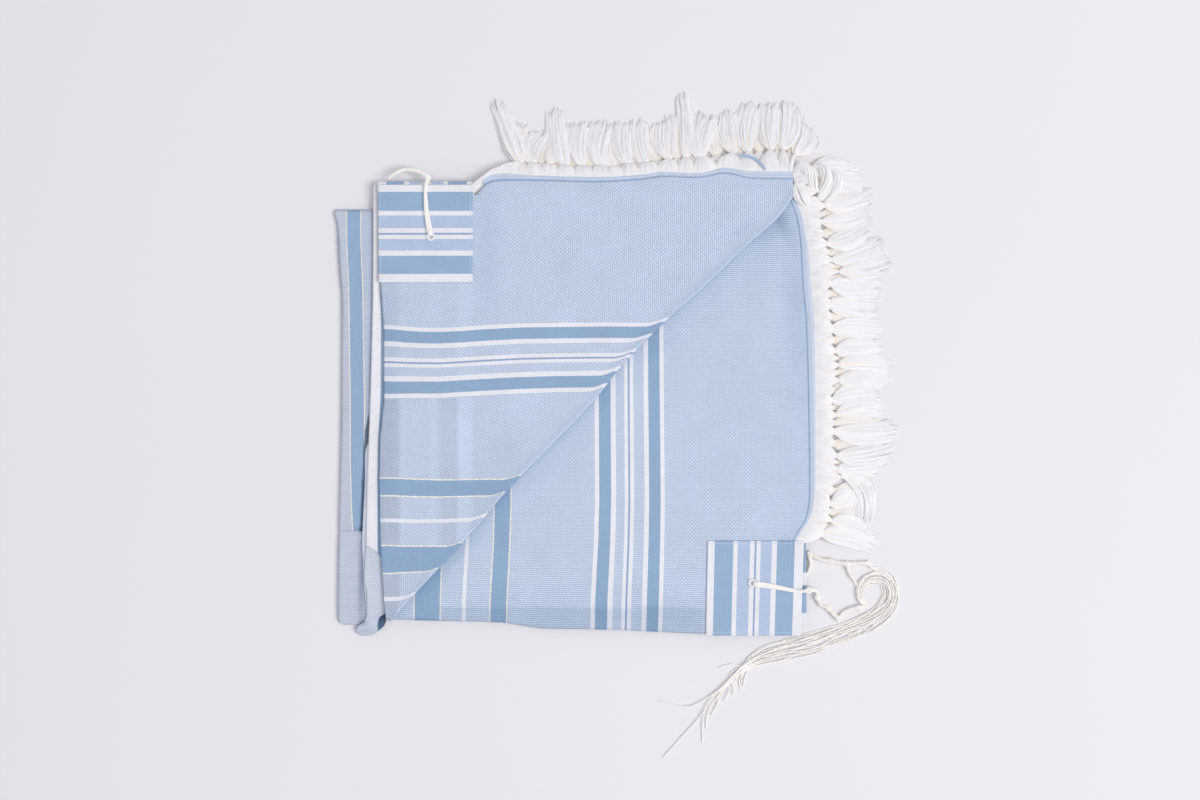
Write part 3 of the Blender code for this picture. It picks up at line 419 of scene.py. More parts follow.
def hidden_layers():
    """Five rounded edges, one for each layer, drawn in by slow waves, with a groove between each two."""
    rings = []
    for k, insets in enumerate(LAYER_INSETS):
        for inward, level in ((GROOVE, 0), (0.3, 0.14), (0, 0.36), (0, 0.64), (0.3, 0.86)):
            ring = core_outline(insets, inward)
            slow = (ring[:, 0] * 1.3 + ring[:, 1]) / 34 + 2.3 * k
            middle = ring.mean(axis=0)
            drawn_in = 0.0022 * (1 + np.sin(slow) * np.cos(slow * 0.37))
            ring = middle + (ring - middle) * (1 - drawn_in)[:, None]
            rings.append(np.column_stack([ring, np.full(len(ring), (k + level) * LAYER)]))
    top = core_outline(LAYER_INSETS[-1], GROOVE)
    rings.append(np.column_stack([top, np.full(len(top), len(LAYER_INSETS) * LAYER)]))
    rings = np.array(rings)
    x, y, z = np.moveaxis(rings, -1, 0)
    rings[..., 2] = z * (1 - bottom_sag(x, y) / 8)
    count = rings.shape[1]
    faces = grid_faces(len(rings), count, around=True).tolist()
    last = (len(rings) - 1) * count
    middles = [(-5, -5, 0), (-5, -5, 8)]
    steps = np.arange(count)
    ahead = (steps + 1) % count
    low_fan = np.stack([ahead, steps, np.full(count, rings.size // 3)], axis=1)
    high_fan = np.stack([last + steps, last + ahead, np.full(count, rings.size // 3 + 1)], axis=1)
    points = np.concatenate([rings.reshape(-1, 3), middles])
    across = np.clip(FRINGED_END - points[:, 0], 4, 405)
    cloth_map = np.stack([across, points[:, 1] + points[:, 2]], axis=-1)
    faces += low_fan.tolist() + high_fan.tolist()
    return new_piece("inner_layers", points, faces, cloth_map, woven_cloth,
                     ["folded_layers"])


inner_layers = hidden_layers()


# ------------------------------
# Folds at the left. The inner layers stick out at the left as rounded folds of the same cloth: one
# with a deep blue band between silver threads, a plain one under it, one whose white edge shows,
# and the plain strip that is turned over at the lower end of that one.
# ------------------------------
CORE_SIDE = -209.3
FOLD_WALL = 1.1
NEST_GAP = 0.15
NEST_BACK = 0.8  # a nested fold ends this much further in
FLAT_STEPS = 36
BELOW_STEPS = 9
ARC_STEPS = 11
BACK_FOLD = ((192, -260.5, 4.4), (188, -261.5, 4.9), (176, -258, 5.4), (150, -257, 5.4),
             (121, -255, 5.4), (98, -253.5, 5.4), (0, -254, 5.4), (-60, -255, 5.4),
             (-124, -256.5, 5.4), (-130, -256.5, 4.6))
# y, left x, right x, top z
BACK_FOLD_LOWER = ((-128.4, -255.6, -209.3, 3.4), (-131.6, -256.2, -209.3, 4.3),
                   (-136, -256.6, -209.3, 5.2),
                   (-160, -257.3, -209.3, 5.4), (-190, -257.6, -209.3, 5.4),
                   (-211, -257.6, -222, 5.4), (-219, -257.4, -228, 5),
                   (-222.8, -256.2, -231.5, 4.4), (-224.4, -252, -236, 3.4))
WHITE_FOLD_LOW = 6
WHITE_FOLD_TOP = 10
WHITE_FOLD = ((217.5, -221), (210, -221.3), (150, -221.5), (101, -222),
              (40, -223.5), (-13, -225), (-76, -227.5), (-120, -228.3))
WHITE_FOLD_CUT = (-144.5, -158)
# y, left x, right x, lowest z, highest z
TURNED_STRIP = ((-164, -230.2, -209.3, 6, 9.6), (-182, -230.4, -209.3, 6, 9.6),
                (-189, -228.4, -209.3, 6, 9.6), (-205, -227.8, -209.3, 6, 9.6),
                (-212.6, -227.9, -209.3, 6, 9.3), (-216.8, -228.6, -215.6, 5.6, 8.9),
                (-221.5, -231, -217.1, 5, 8.4), (-226.5, -237.6, -217.4, 1.6, 7.4),
                (-230.6, -239.6, -217.6, 0.5, 5.8), (-233.6, -238, -221, 0.5, 4.4),
                (-235.6, -234.6, -227, 0.5, 3))
# Its inner face, which shows where the strip's end gapes open: it lies in the deep blue band, which with
# its painted shade stands for the bluish shade in there
STRIP_INSIDE = ((-206, -225, -209, 6.6, 9), (-213, -226, -208.9, 5.2, 7.6),
                (-218, -227, -208.5, 3.8, 6.2), (-222, -228, -209.4, 2.6, 5),
                (-226.5, -229, -211.6, 1.6, 4), (-230, -229, -215.4, 1.2, 3.6),
                (-231.6, -229, -218.2, 1.2, 3.4))
# The thin folded rim that stands out to the left of the white edge and of the turned strip
RIM = ((-42, -226.6, -224.6, 5.5, 7.3), (-52, -229.6, -226.8, 5.5, 7.6),
       (-79, -230, -226.8, 5.5, 7.6), (-109, -231.4, -226.8, 5.5, 7.6),
       (-134, -232.6, -226.8, 5.5, 7.6), (-146, -233, -226.8, 5.5, 7.6),
       (-160, -231.9, -226.8, 5.5, 7.6), (-182, -231.3, -226.8, 5.5, 7.6),
       (-192, -230.2, -226.8, 5.5, 7.6), (-208, -229, -226.4, 5.5, 7.6),
       (-217, -229.6, -227, 4.6, 6.6), (-222, -232.4, -228.6, 3.6, 5.6))
# The first silver thread on the striped fold: y, x, and how closely the stripes lie there
FOLD_SILVER = ((-130, -243.2), (-104, -244.4), (-59, -245.6), (1, -245.6), (116, -247.2),
               (160, -249.2), (192, -249.4))
FOLD_SPREAD = 1.2
# How far those parts of the cloth are from the fringed end that each piece begins with
SILVER_ACROSS = 300
PLAIN_ACROSS = 280
STRIP_ACROSS = 260
# The inner face is put in the deep blue band for the colour of its painted shade
INSIDE_ACROSS = 310
# The white satin's right side on the white edge: y, x
WHITE_SIDE = ((-158, -216.6), (-79, -216.7), (-39, -216), (1, -213.7), (90, -213.2),
              (131, -215.4), (217.5, -216))
# Painted shade on the folds: centre x, y, half length, half width, angle in degrees, share
FOLD_SHADES = ((-254.4, 125, 46, 1.5, 94, 0.26), (-256.8, 165, 14, 1, 99, 0.34),
               (-252.6, -20, 26, 0.9, 90, 0.14), (-233.6, -129.6, 2, 4, 90, 0.5),
               (-247, -126.5, 1.2, 9, 90, 0.14), (-233.8, -180, 50, 3.2, 90, 0.48),
               (-231, -222.6, 5, 2.6, 10, 0.40), (-255.6, -175, 60, 1.4, 90, 0.10))
# Painted shade on the turned strip: centre x, y, half length, half width, angle in degrees, share
STRIP_SHADES = ((-231, -222.6, 5, 2.6, 10, 0.40), (-230, -231, 14, 5, 0, 0.20))
# Painted shade of the dark gap beside the white edge: y, and x of its left side
GAP_SIDE = ((-133, -236), (-126, -235.2), (-104, -234.8), (-90, -234), (-79, -233.4),
            (-49, -232.3), (-29, -230.6), (-13, -226.4), (-8, -224.6))
FOLD_COLOURS = {**BAND_COLOURS, "plain": (0.690, 0.716, 0.790), "inner": (0.640, 0.715, 0.835),
                "gap": (0.430, 0.490, 0.620), "deep": (0.300, 0.425, 0.600)}
STRIP_COLOURS = {**BAND_COLOURS, "plain": (0.755, 0.795, 0.872), "gap": (0.500, 0.565, 0.690)}
# Soft troughs of the folds: centre x, centre y, half length, half width, angle in degrees, height
FOLD_TROUGHS = ((-238, 120, 46, 5, 86, -0.35), (-231, -40, 70, 4, 92, -0.3),
                (-246, 20, 38, 4, 88, 0.2), (-242, -150, 16, 7, 60, -0.4),
                (-236, -196, 26, 6, 80, 0.3), (-240, 178, 14, 8, 30, -0.3))


def mounds(x, y, table):
    """The sum of soft oval mounds and troughs: each height times e to the minus squared distance."""
    total = np.zeros(np.broadcast(x, y).shape)
    for cx, cy, length, width, angle, height in table:
        c, s = math.cos(math.radians(angle)), math.sin(math.radians(angle))
        along = ((x - cx) * c + (y - cy) * s) / length
        across = ((y - cy) * c - (x - cx) * s) / width
        total = total + height * np.exp(-along**2 - across**2)
    return total


def laid(x, y, z, across, along):
    """The points of a sheet and its cloth coordinates, as two grids."""
    return np.stack([x, y, z], axis=-1), np.stack([across, along], axis=-1)


def distances(path):
    """How far along its path each point lies, for one path or for many."""
    step = np.linalg.norm(np.diff(path, axis=-2), axis=-1)
    return np.concatenate([0 * step[..., :1], np.cumsum(step, axis=-1)], axis=-1)


def along_line(line, reach, at):
    """The points of a line at these distances along it, from its points' own distances."""
    return np.stack([np.interp(at, reach, line[:, k]) for k in range(line.shape[1])], axis=-1)


def curve_through(points, count):
    """count points, evenly spaced along a Catmull-Rom curve through the given points."""
    p = np.asarray(points, float)
    p = np.vstack([2 * p[0] - p[1], p, 2 * p[-1] - p[-2]])
    t = np.linspace(0, 1, 12, endpoint=False)[:, None]
    spans = [0.5 * (2 * b + (c - a) * t + (2 * a - 5 * b + 4 * c - d) * t**2
                    + (3 * b - a - 3 * c + d) * t**3)
             for a, b, c, d in zip(p[:-3], p[1:-2], p[2:-1], p[3:])]
    fine = np.vstack([*spans, p[-2:-1]])
    reach = distances(fine)
    return along_line(fine, reach, np.linspace(0, reach[-1], count))


def fold_grids(rows, count, layers, across_at):
    """A doubled sheet, folded at its left. Each row gives y left, y right, x left, x right, z low
    and z high. Its line runs back along the bottom, round a half circle and along the top, and each
    nested layer does the same inside it. across_at gives the cloth coordinate from the top right
    corner's x and y and the distance from there along the line."""
    table = curve_through(rows, count)
    y_left, y_right, x_left, x_right, low, high = table.T[:, :, None]
    grids = []
    for layer in range(layers):
        inset = FOLD_WALL / 2 + layer * (FOLD_WALL + NEST_GAP)
        radius = np.maximum((high - low) / 2 - inset, 0.06)
        centre = x_left + (high - low) / 2 + layer * NEST_BACK
        flat = np.linspace(0, 1, FLAT_STEPS)[None]
        below = np.linspace(0, 1, BELOW_STEPS)[None]
        turn = np.linspace(0, math.pi, ARC_STEPS + 1)[None, 1:-1]
        x = np.hstack([x_right + (centre - x_right) * flat, centre - radius * np.sin(turn),
                       centre + (x_right - centre) * below])
        middle = (high + low) / 2
        z = np.hstack([middle + radius + 0 * flat, middle + radius * np.cos(turn),
                       middle - radius + 0 * below])
        share = (x - x_left) / (x_right - x_left)
        y = y_left + (y_right - y_left) * share
        z = z + mounds(x, y, FOLD_TROUGHS) * np.clip((z - low) / (high - low), 0, 1)
        step = np.hypot(np.diff(x, axis=1), np.diff(z, axis=1))
        far = np.hstack([0 * x[:, :1], np.cumsum(step, axis=1)])
        across = across_at(x_right, y_right, far)
        grids.append(laid(x, y, z, across, y))
    return grids


def striped_fold_across(x_right, y, far):
    """The first silver thread lies where its own table says."""
    line_y, line_x = np.array(FOLD_SILVER).T
    return SILVER_ACROSS + FOLD_SPREAD * (x_right - np.interp(y, line_y, line_x) - far)


def fold_shade(x, y):
    """The painted shade on the folds: in their creases, beside the white edge, and in the dark gap that
    opens next to it."""
    white_y, white_x = np.array(WHITE_FOLD[::-1]).T
    beside = np.maximum(np.interp(y, white_y, white_x) - x, 0)
    shade = 0.32 * np.exp(-((beside / 1.6) ** 2)) * ease((y + 10) / 20)
    gap_y, gap_x = np.array(GAP_SIDE).T
    gap = ease((x - np.interp(y, gap_y, gap_x)) / 0.8)
    gap = gap * ease((-8 - y) / 8) * ease((y + 131) / 2)
    return np.clip(shade + mounds(x, y, FOLD_SHADES) + 0.72 * gap, 0, 0.85)


def strip_shade(x, y):
    """The painted shade on the turned strip: dark inside its gaping end, darkest at the top."""
    row_y, _, row_x, _, _ = np.array(TURNED_STRIP[::-1]).T
    inside = ease((x - np.interp(y, row_y, row_x) - 0.1) / 0.6) * ease((-212 - y) / 1.5)
    depth = np.interp(y, (-232, -226, -214), (0.36, 0.70, 0.89))
    return np.clip(inside * depth + mounds(x, y, STRIP_SHADES), 0, 0.9)


fold_cloth = striped_cloth("fold_cloth", STRIPES, FOLD_COLOURS, STRETCHES, (2, 1.9, 0.6), 1.3)
strip_cloth = striped_cloth("strip_cloth", STRIPES, STRIP_COLOURS, STRETCHES, (1.8, 1.7, 0.55), 1.3)
rows = [(y, y, x, CORE_SIDE, 0, top) for y, x, top in BACK_FOLD]
grids = fold_grids(rows, 90, 2, striped_fold_across)
fold_striped = sheet_piece("fold_striped", grids, FOLD_WALL, fold_cloth, ["back_fold"])
add_shade(fold_striped, fold_shade)
rows = [(y, y, x, right, 0, top) for y, x, right, top in BACK_FOLD_LOWER]
grids = fold_grids(rows, 52, 2, lambda x, y, far: PLAIN_ACROSS - far)
fold_plain = sheet_piece("fold_plain", grids, FOLD_WALL, fold_cloth, ["back_fold_lower"])
add_shade(fold_plain, fold_shade)

# The white edge: smooth satin, with the deep blue that comes next in the weave at its right
WHITE_FROM = 42.4
WHITE_EDGE = ((0, "deep"), (WHITE_FROM, "white"), (100, "white"))
# Painted light, as negative shade: where it is brighter, as the flap lets light through onto it
WHITE_PAINTED_LIGHT = ((-218, 150, 60, 4, 90, -0.20), (-211, 58, 40, 2.4, 90, -0.60))
white_edge_cloth = striped_cloth("white_edge_cloth", WHITE_EDGE, BAND_COLOURS, ((0, 100),),
                                 (FLOAT, RIB, 0.4), 2.3)
STRIP_LEFT = -228.7  # x of the strip's left side where it meets the white edge's cut
STRIP_TOP = 9.6
CUT_GAP = 0.15  # between the white edge and the strip
cut_left, cut_right = WHITE_FOLD_CUT
side_y, side_x = np.array(WHITE_SIDE).T
rows = [(y, y, x, CORE_SIDE, WHITE_FOLD_LOW, WHITE_FOLD_TOP) for y, x in WHITE_FOLD]
rows.append((cut_left, cut_right, STRIP_LEFT, CORE_SIDE, WHITE_FOLD_LOW, WHITE_FOLD_TOP))
grids = fold_grids(rows, 110, 1, lambda x, y, far: WHITE_FROM + far - x + np.interp(y, side_y, side_x))
fold_white = sheet_piece("fold_white_edge", grids, FOLD_WALL, white_edge_cloth,
                         ["white_edge_fold"])
add_shade(fold_white, lambda x, y: mounds(x, y, WHITE_PAINTED_LIGHT))
rows = [(cut_left - CUT_GAP, cut_right - CUT_GAP, STRIP_LEFT, CORE_SIDE, WHITE_FOLD_LOW, STRIP_TOP)]
rows += [(y, y, *rest) for y, *rest in TURNED_STRIP]
grids = fold_grids(rows, 62, 1, lambda x, y, far: STRIP_ACROSS - far)
rows = [(y, y, *rest) for y, *rest in STRIP_INSIDE]
grids += fold_grids(rows, 26, 1, lambda x, y, far: INSIDE_ACROSS - 0.1 * far)
rows = [(y, y, *rest) for y, *rest in RIM]
grids += fold_grids(rows, 70, 1, lambda x, y, far: PLAIN_ACROSS - far)
strip_turned = sheet_piece("strip_turned_over", grids, FOLD_WALL, strip_cloth,
                           ["turned_strip"])
add_shade(strip_turned, strip_shade)


# ------------------------------
# Lower panel. The layer under the turned flap: it shows as a triangle at the lower right, with the
# stripes running away from the viewer and its fringed end at the right, where it ends in a hem.
# ------------------------------
CLOTH = 1.2
UNDER_MID = 8.9
LIE = 0.6
SEWN = 0.5
RIGHT_DROOP = 1.8
SWELLS = ((-150, 40, 170, 45, 84, 0.5), (20, 120, 120, 40, 20, 0.6),
          (60, -120, 110, 45, 75, 0.5), (-60, -60, 120, 40, 46, 0.4))
# x, y, width of the hem, from the top down
UNDER_HEM = ((196.4, 203, 5), (203.8, 180, 5.6), (207.2, 152, 7.2), (209, 117, 8.3),
             (212.4, 80, 8.1), (214.4, 20, 7.1), (215.4, -40, 6.3), (215.8, -79, 5.8),
             (215.2, -102, 5), (211.6, -118, 3.6), (204.4, -129.5, 3.2), (198.9, -138.8, 3.2))
UNDER_CORNER = ((203, -150), (204, -190), (203.5, -233))
UNDER_BOTTOM = ((-206.5, -219), (-92, -222), (-54, -228), (26, -229.5),
                (66, -231.5), (112, -233.5), (204, -233.5))
UNDER_LEFT = -206.5
UNDER_ROWS = 128
UNDER_COLUMNS = 116
# Soft ridges and troughs where the panel shows
UNDER_CREASES = ((120, 60, 60, 9, 62, 0.35), (150, -30, 50, 12, 20, -0.3),
                 (96, -60, 70, 10, 84, 0.3), (170, -90, 36, 8, -40, 0.35),
                 (30, -170, 40, 12, 10, 0.3), (-60, -190, 34, 9, 70, -0.25),
                 (186, 120, 60, 7, 94, -0.45), (80, -205, 60, 6, 4, 0.3))
# How far the stripes stray sideways: distance across, then the shift at each y of STRAY_AT
STRAY_AT = (-230, -199, -140, -100, -49, 6, 66)
STRAYS = ((145, (0, 0.8, 2.1, 2.6, 2.2, 1.6, 1.2)), (217, (-0.4, 0, 3.3, 4.4, 4.2, 4, 4)),
          (301, (0.2, 0.8, 3.8, 5, 4.8, 4.6, 4.6)), (318, (0.2, 0.8, 4.2, 5.1, 4.9, 4.8, 4.8)),
          (343, (-0.5, 0, 3.2, 3.4, 3.4, 3.4, 3.4)), (380, (-0.4, 0, 1.4, 1.4, 1.4, 1.4, 1.4)))


# Painted shade on the panel where folds lie close: shares of its tone, and patches of painted shade:
# centre x, y, half length, half width, angle in degrees, share
FOLD_SHADE = 0.15
HEM_SHADE = 0.10
BOTTOM_SHADE = 0.15
DEEP_SHADE = ((186, 184, 26, 7, 112, 0.28), (176, 170, 16, 8, 46, 0.12),
              (-140, -158, 60, 6, 47, 0.10), (60, 52, 14, 6, 45, 0.12),
              (20, -211, 220, 22, 0, 0.07), (172, 148, 24, 16, 90, 0.08),
              (204, 86, 60, 13, 90, 0.10), (-174, -220.6, 15, 2.6, 0, 0.34))
FOLD_LINE = ((-203, -219.5), (-178, -191), (-125, -134), (-86, -88), (-39, -40),
             (1, 2), (26, 34), (70, 79), (106, 111), (151, 154), (184, 184),
             (199, 205))


def swell(x, y):
    return mounds(x, y, SWELLS)


def under_z(x, y):
    """Middle surface of the lower panel: the packet's top, drooping past its right edge."""
    return UNDER_MID + swell(x, y) - RIGHT_DROOP * ease((x - 202) / 18)


def stray(raw, at, levels, curves):
    """The shift at a distance across and a place along: each curve along, blended by distance."""
    total = np.zeros(np.broadcast(raw, at).shape)
    names = [row[0] for row in curves]
    for k, (_, curve) in enumerate(curves):
        weight = np.interp(raw, names, np.eye(len(names))[k])
        total = total + weight * np.interp(at, levels, curve)
    return total


def past_fold(x, y, side):
    """How far a point lies from the fold's line: below it where side is -1, above it where 1."""
    fold = curve_through(FOLD_LINE, 200)
    return np.maximum(side * (y - np.interp(x, fold[:, 0], fold[:, 1])), 0) / math.sqrt(2)


def under_shade(x, y):
    """The painted shade on the panel: beside the fold that lies on it, most at the two ends, along the
    hem, and where it rolls down at the bottom."""
    shade = FOLD_SHADE * np.exp(-past_fold(x, y, -1) / 9) + mounds(x, y, DEEP_SHADE)
    hem = np.interp(-y, [-row[1] for row in UNDER_HEM], [row[0] for row in UNDER_HEM])
    shade = shade + HEM_SHADE * np.exp(-np.maximum(hem - x, 0) / 10)
    bottom = ease((x + 158) / 8) * ease((114 - x) / 8)
    return np.clip(shade + BOTTOM_SHADE * bottom * ease((-205.5 - y) / 2.5), 0, 0.6)


def lower_panel():
    """Rows run from the left edge to the hem's line, and the lowest ones follow the bottom edge."""
    hem = curve_through(UNDER_HEM, 90)[:, :2]
    right = np.vstack([hem, UNDER_CORNER])
    y = np.linspace(right[0, 1], right[-1, 1], UNDER_ROWS)[:, None]
    x_right = np.interp(-y, -right[:, 1], right[:, 0])
    x = UNDER_LEFT + (x_right - UNDER_LEFT) * np.linspace(0, 1, UNDER_COLUMNS)[None]
    edge_x, edge_y = np.array(UNDER_BOTTOM).T
    height = (y - y.min()) / (y.max() - y.min())
    y = y + (np.interp(x, edge_x, edge_y) - y.min()) * (1 - height) ** 3
    z = under_z(x, y) + mounds(x, y, UNDER_CREASES) - bottom_sag(x, y) * ease((112 - x) / 30)
    raw = FRINGED_END - x
    across = raw + stray(raw, y, STRAY_AT, STRAYS)
    return laid(x, y, z, across, y)


panel = sheet_piece("lower_panel", [lower_panel()], CLOTH, woven_cloth, ["under_panel"])
add_shade(panel, under_shade)


# ------------------------------
# Turned flap. The top layer is turned back along the diagonal, so its stripes run crosswise and its
# fringed end lies along the top. It rolls softly over the fold and goes back under for a short way.
# ------------------------------
LEG_MID = 10.7
FLAP_MID = 12.9
TOP_DROOP = 3.4
# share of the fold's length, x, y of the flap's edge: up its long edge, then under its corner patch
FLAP_SIDE = ((0.000, -207.5, -218.5), (0.060, -209.5, -199), (0.140, -213, -149),
             (0.220, -214.5, -79), (0.290, -214, -39), (0.350, -209.8, 1),
             (0.410, -210.2, 76), (0.450, -213.5, 118), (0.500, -213.5, 213.5),
             (0.550, -170, 213.5), (0.600, -126, 213), (0.615, -118, 205))
HEM_SHARE = 0.64
# x, y, width of the hem, from the left
FLAP_HEM = ((-110, 216, 5.4), (-97, 220.5, 6.8), (-59, 220.5, 4.8), (3, 219, 4.8),
            (46, 221.4, 4.6), (68, 224.4, 4.4), (105, 223.4, 4.2), (131, 227.8, 5.4),
            (153, 223, 7), (173, 222, 7.4), (199, 221.6, 7.8))
FLAP_ROWS = 185
FLAT_CELLS = 84
BEND_CELLS = 12
LEG_CELLS = 6
LEG_REACH = 26
FOLD_PUFF = 2  # extra height beside the fold
PUFF_REACH = 26
ROLL = 11  # over this width beside the fold the weave shears as it rolls over
SWEEP = (7, 12)  # by this much at the fold, at its lower and at its upper end
FLAP_FOLD_SHADE = 0.10
# Painted shade on the flap, of shallow dips and along its long edge: centre x, y, half length, half width,
# angle in degrees, share
FLAP_SHADE_MARKS = ((52, 68, 9, 1.8, -42, 0.07), (57, 62, 9, 1.8, -42, 0.07),
             (62, 56, 8, 1.8, -42, 0.06), (-211.5, -100, 80, 1.4, 90, 0.12),
             (-206, 40, 120, 9, 90, 0.09), (-106, 150, 70, 12, 88, 0.07),
             (150, 172, 14, 4, 40, 0.06))
FLAP_TOP = 224  # y of the flap's fringed end
# The flap's stripes lie a little wider apart than the lower panel's: as measured, as woven
FLAP_SPREAD = ((0, 0), (150.7, 144.4), (220.9, 216.4), (300, 300), (318.8, 318),
               (341, 341), (368, 366), (396.6, 393.4), (419, 418.6), (460, 458))
FLAP_STRAY_AT = (-202, -189, -174, -154, -134, -114, -74, -34, 6, 56)
FLAP_STRAYS = ((154, (-2.8, -1.4, -0.3, 0, -0.8, -2.5, -4.5, -5, -5.5, -5.2)),
               (216, (0.4, 0.2, 0, 0, -1.4, -2.4, -4.5, -5.8, -6, -6)),
               (300, (0, 0.6, 1.2, 2, 1.7, 1.4, 1.2, 1, 1, 1)),
               (343, (0, 0.4, 0.8, 0.4, -0.4, -1.4, -1.2, -1, -1, -1)),
               (368, (-0.6, 0, 0, 0, 0, 0, 0, 0, 0, 0)),
               (396, (0, -1, -1.8, -2.2, -2.2, -2.2, -2.2, -2.2, -2.2, -2.2)))
# Soft ridges and troughs of the flap
FLAP_CREASES = ((102, 116, 34, 7, 40, 0.5), (150, 196, 60, 12, -24, 0.4),
                (-80, 190, 26, 10, 92, -0.6), (-20, 160, 70, 14, 12, 0.35),
                (60, 180, 50, 10, 74, -0.35), (-190, -60, 80, 7, 91, -0.4),
                (-150, -20, 60, 9, 88, 0.35), (-60, 40, 60, 16, 50, 0.4),
                (-120, 60, 46, 10, 96, -0.3), (20, 70, 40, 9, 44, 0.35),
                (-120, -110, 30, 8, 60, 0.3))
RING_CENTRE = (-98, 108)  # a faint round mark pressed into the cloth
RING_RADIUS = 26


def flap_droop(x, y):
    """How far the flap hangs past the packet's top edge, less at its corner patch."""
    return TOP_DROOP * ease((y - 206) / 26) * ease((x + 150) / 60)


def flap_z(x, y):
    """Middle surface of the turned flap away from its fold."""
    return FLAP_MID + swell(x, y) - flap_droop(x, y)


def flap_creases(x, y):
    """The flap's ridges and troughs, and the pressed round mark: a low ring."""
    away = np.hypot(x - RING_CENTRE[0], y - RING_CENTRE[1]) - RING_RADIUS
    ring = 0.22 * np.exp(-(away / 2.2) ** 2) * ease((x - RING_CENTRE[0] + 20) / 20)
    return mounds(x, y, FLAP_CREASES) + ring


def flap_shade(x, y):
    """The painted shade on the flap: beside its fold, of shallow dips and along its long edge."""
    beside = FLAP_FOLD_SHADE * np.exp(-past_fold(x, y, 1) / 5)
    return np.clip(beside + mounds(x, y, FLAP_SHADE_MARKS), 0, 0.6)


def turned_flap():
    """Each row runs from the outer edge to the fold, round it and back under for a short way. The
    cloth coordinates are those of the flap unrolled, sheared beside the fold by the square of the
    share of the width left, which swings the stripes up towards the fold."""
    hem = curve_through(FLAP_HEM, 90)[:, :2]
    side_share, side_x, side_y = np.array(FLAP_SIDE).T
    edge_share = np.concatenate([side_share, np.linspace(HEM_SHARE, 1, len(hem))])
    edge_points = np.vstack([np.stack([side_x, side_y], axis=1), hem])
    share = np.linspace(0, 1, FLAP_ROWS)
    edge = np.stack([np.interp(share, edge_share, edge_points[:, k]) for k in range(2)], axis=1)
    fold = curve_through(FOLD_LINE, FLAP_ROWS)
    width = np.linalg.norm(edge - fold, axis=1)[:, None]
    outward = (edge - fold) / width
    bend = np.minimum((FLAP_MID - LEG_MID + FOLD_PUFF) / 2, width * 0.3)
    turn = np.linspace(0, math.pi, BEND_CELLS + 1)[None, 1:]
    leg = np.minimum(LEG_REACH, width * 0.75)
    flat_far = width + (bend - width) * np.linspace(0, 1, FLAT_CELLS + 1)[None]
    leg_far = bend + (leg - bend) * np.linspace(0, 1, LEG_CELLS + 1)[None, 1:]
    far = np.hstack([flat_far, bend - bend * np.sin(turn), leg_far])
    level = np.concatenate([np.zeros(FLAT_CELLS + 1), (1 - np.cos(turn[0])) / 2, np.ones(LEG_CELLS)])
    xy = fold[:, None] + outward[:, None] * far[..., None]
    x, y = xy[..., 0], xy[..., 1]
    sink = swell(x, y) - flap_droop(x, y)
    puff = (2 * bend - (FLAP_MID - LEG_MID)) * np.exp(-((far / PUFF_REACH) ** 2))
    z_top = FLAP_MID + sink + puff + flap_creases(x, y) * (1 - np.exp(-((far / 14) ** 2)))
    z = z_top + (LEG_MID + sink - z_top) * level
    sweep = SWEEP[0] + (SWEEP[1] - SWEEP[0]) * share[:, None]
    roll = sweep * np.clip(1 - far / ROLL, 0, 1) ** 2
    past = np.hstack([0 * flat_far, bend * turn, bend * math.pi + leg_far - bend])
    roll = np.where(past > 0, sweep * (1 - bend / ROLL) ** 2 + far - bend + past, roll)
    x_cloth = x + roll / math.sqrt(2)
    y_cloth = y - roll / math.sqrt(2)
    raw = FLAP_TOP - y_cloth
    raw = raw - stray(raw, x_cloth, FLAP_STRAY_AT, FLAP_STRAYS)
    across = np.interp(raw, *np.array(FLAP_SPREAD).T)
    return laid(x, y, z, across, x_cloth)


flap = sheet_piece("turned_flap_cloth", [turned_flap()], CLOTH, flap_cloth, ["turned_flap"])
add_shade(flap, flap_shade)


# ------------------------------
# End hems. Each fringed end of the cloth is turned over once and stitched down along a deep blue
# line, which leaves a pale, slightly raised band between the weave and the fringe.
# ------------------------------
HEM = 1.8
HEM_PALE = (0.575, 0.640, 0.745)
HEM_LINE = (0.345, 0.465, 0.645)
HEM_STEPS = 190
# The next layer's corner, of which a short curved end of hem shows on the bunches: x, y, width
CORNER_HEM = ((144.6, 244.2, 2.6), (152, 243.4, 2.8), (158, 241.6, 2.8), (163.6, 238, 2.4),
              (168, 233.4, 2), (170.6, 230.2, 1.6))
CORNER_HEM_HEIGHT = 13.4


def hem_material():
    """Pale satin-like cloth with a deep line at its inner edge and a fainter one near the outer."""
    material, tree, shader = new_material("end_hem", 0.7, 0.15)
    place, across, _ = cloth_place(tree)
    near = (noise(place, 0.12, 2) - 0.5) * 0.5 + across
    outer = near - 4
    outer = outer.maths("ABSOLUTE", outer)
    line = Wire(add_node(tree, "MapRange", {0: near, 1: 1.2, 2: 2.3, 3: 1, 4: 0}))
    faint = Wire(add_node(tree, "MapRange", {0: outer, 1: 0.25, 2: 0.8, 3: 0.45, 4: 0}))
    share = line.maths("MAXIMUM", line, faint)
    height = Wire(float_group(place, 1.6, 1.2, 0.25, 0.3), "Height")
    tone = (height * 0.05 + 0.95) * cloudy(tree, 0.02, 0.1)
    finish(shader, scaled(mixed(share, HEM_PALE, HEM_LINE), tone), share * -1.5 + height, 0.35, 0.0003)
    return material


hem_cloth = hem_material()


def sideways(path):
    """Level unit vectors at right angles to a path, on its left."""
    along = np.gradient(path, axis=0)
    side = np.stack([-along[:, 1], along[:, 0], 0 * along[:, 0]], axis=1)
    return side / np.linalg.norm(side, axis=1, keepdims=True)


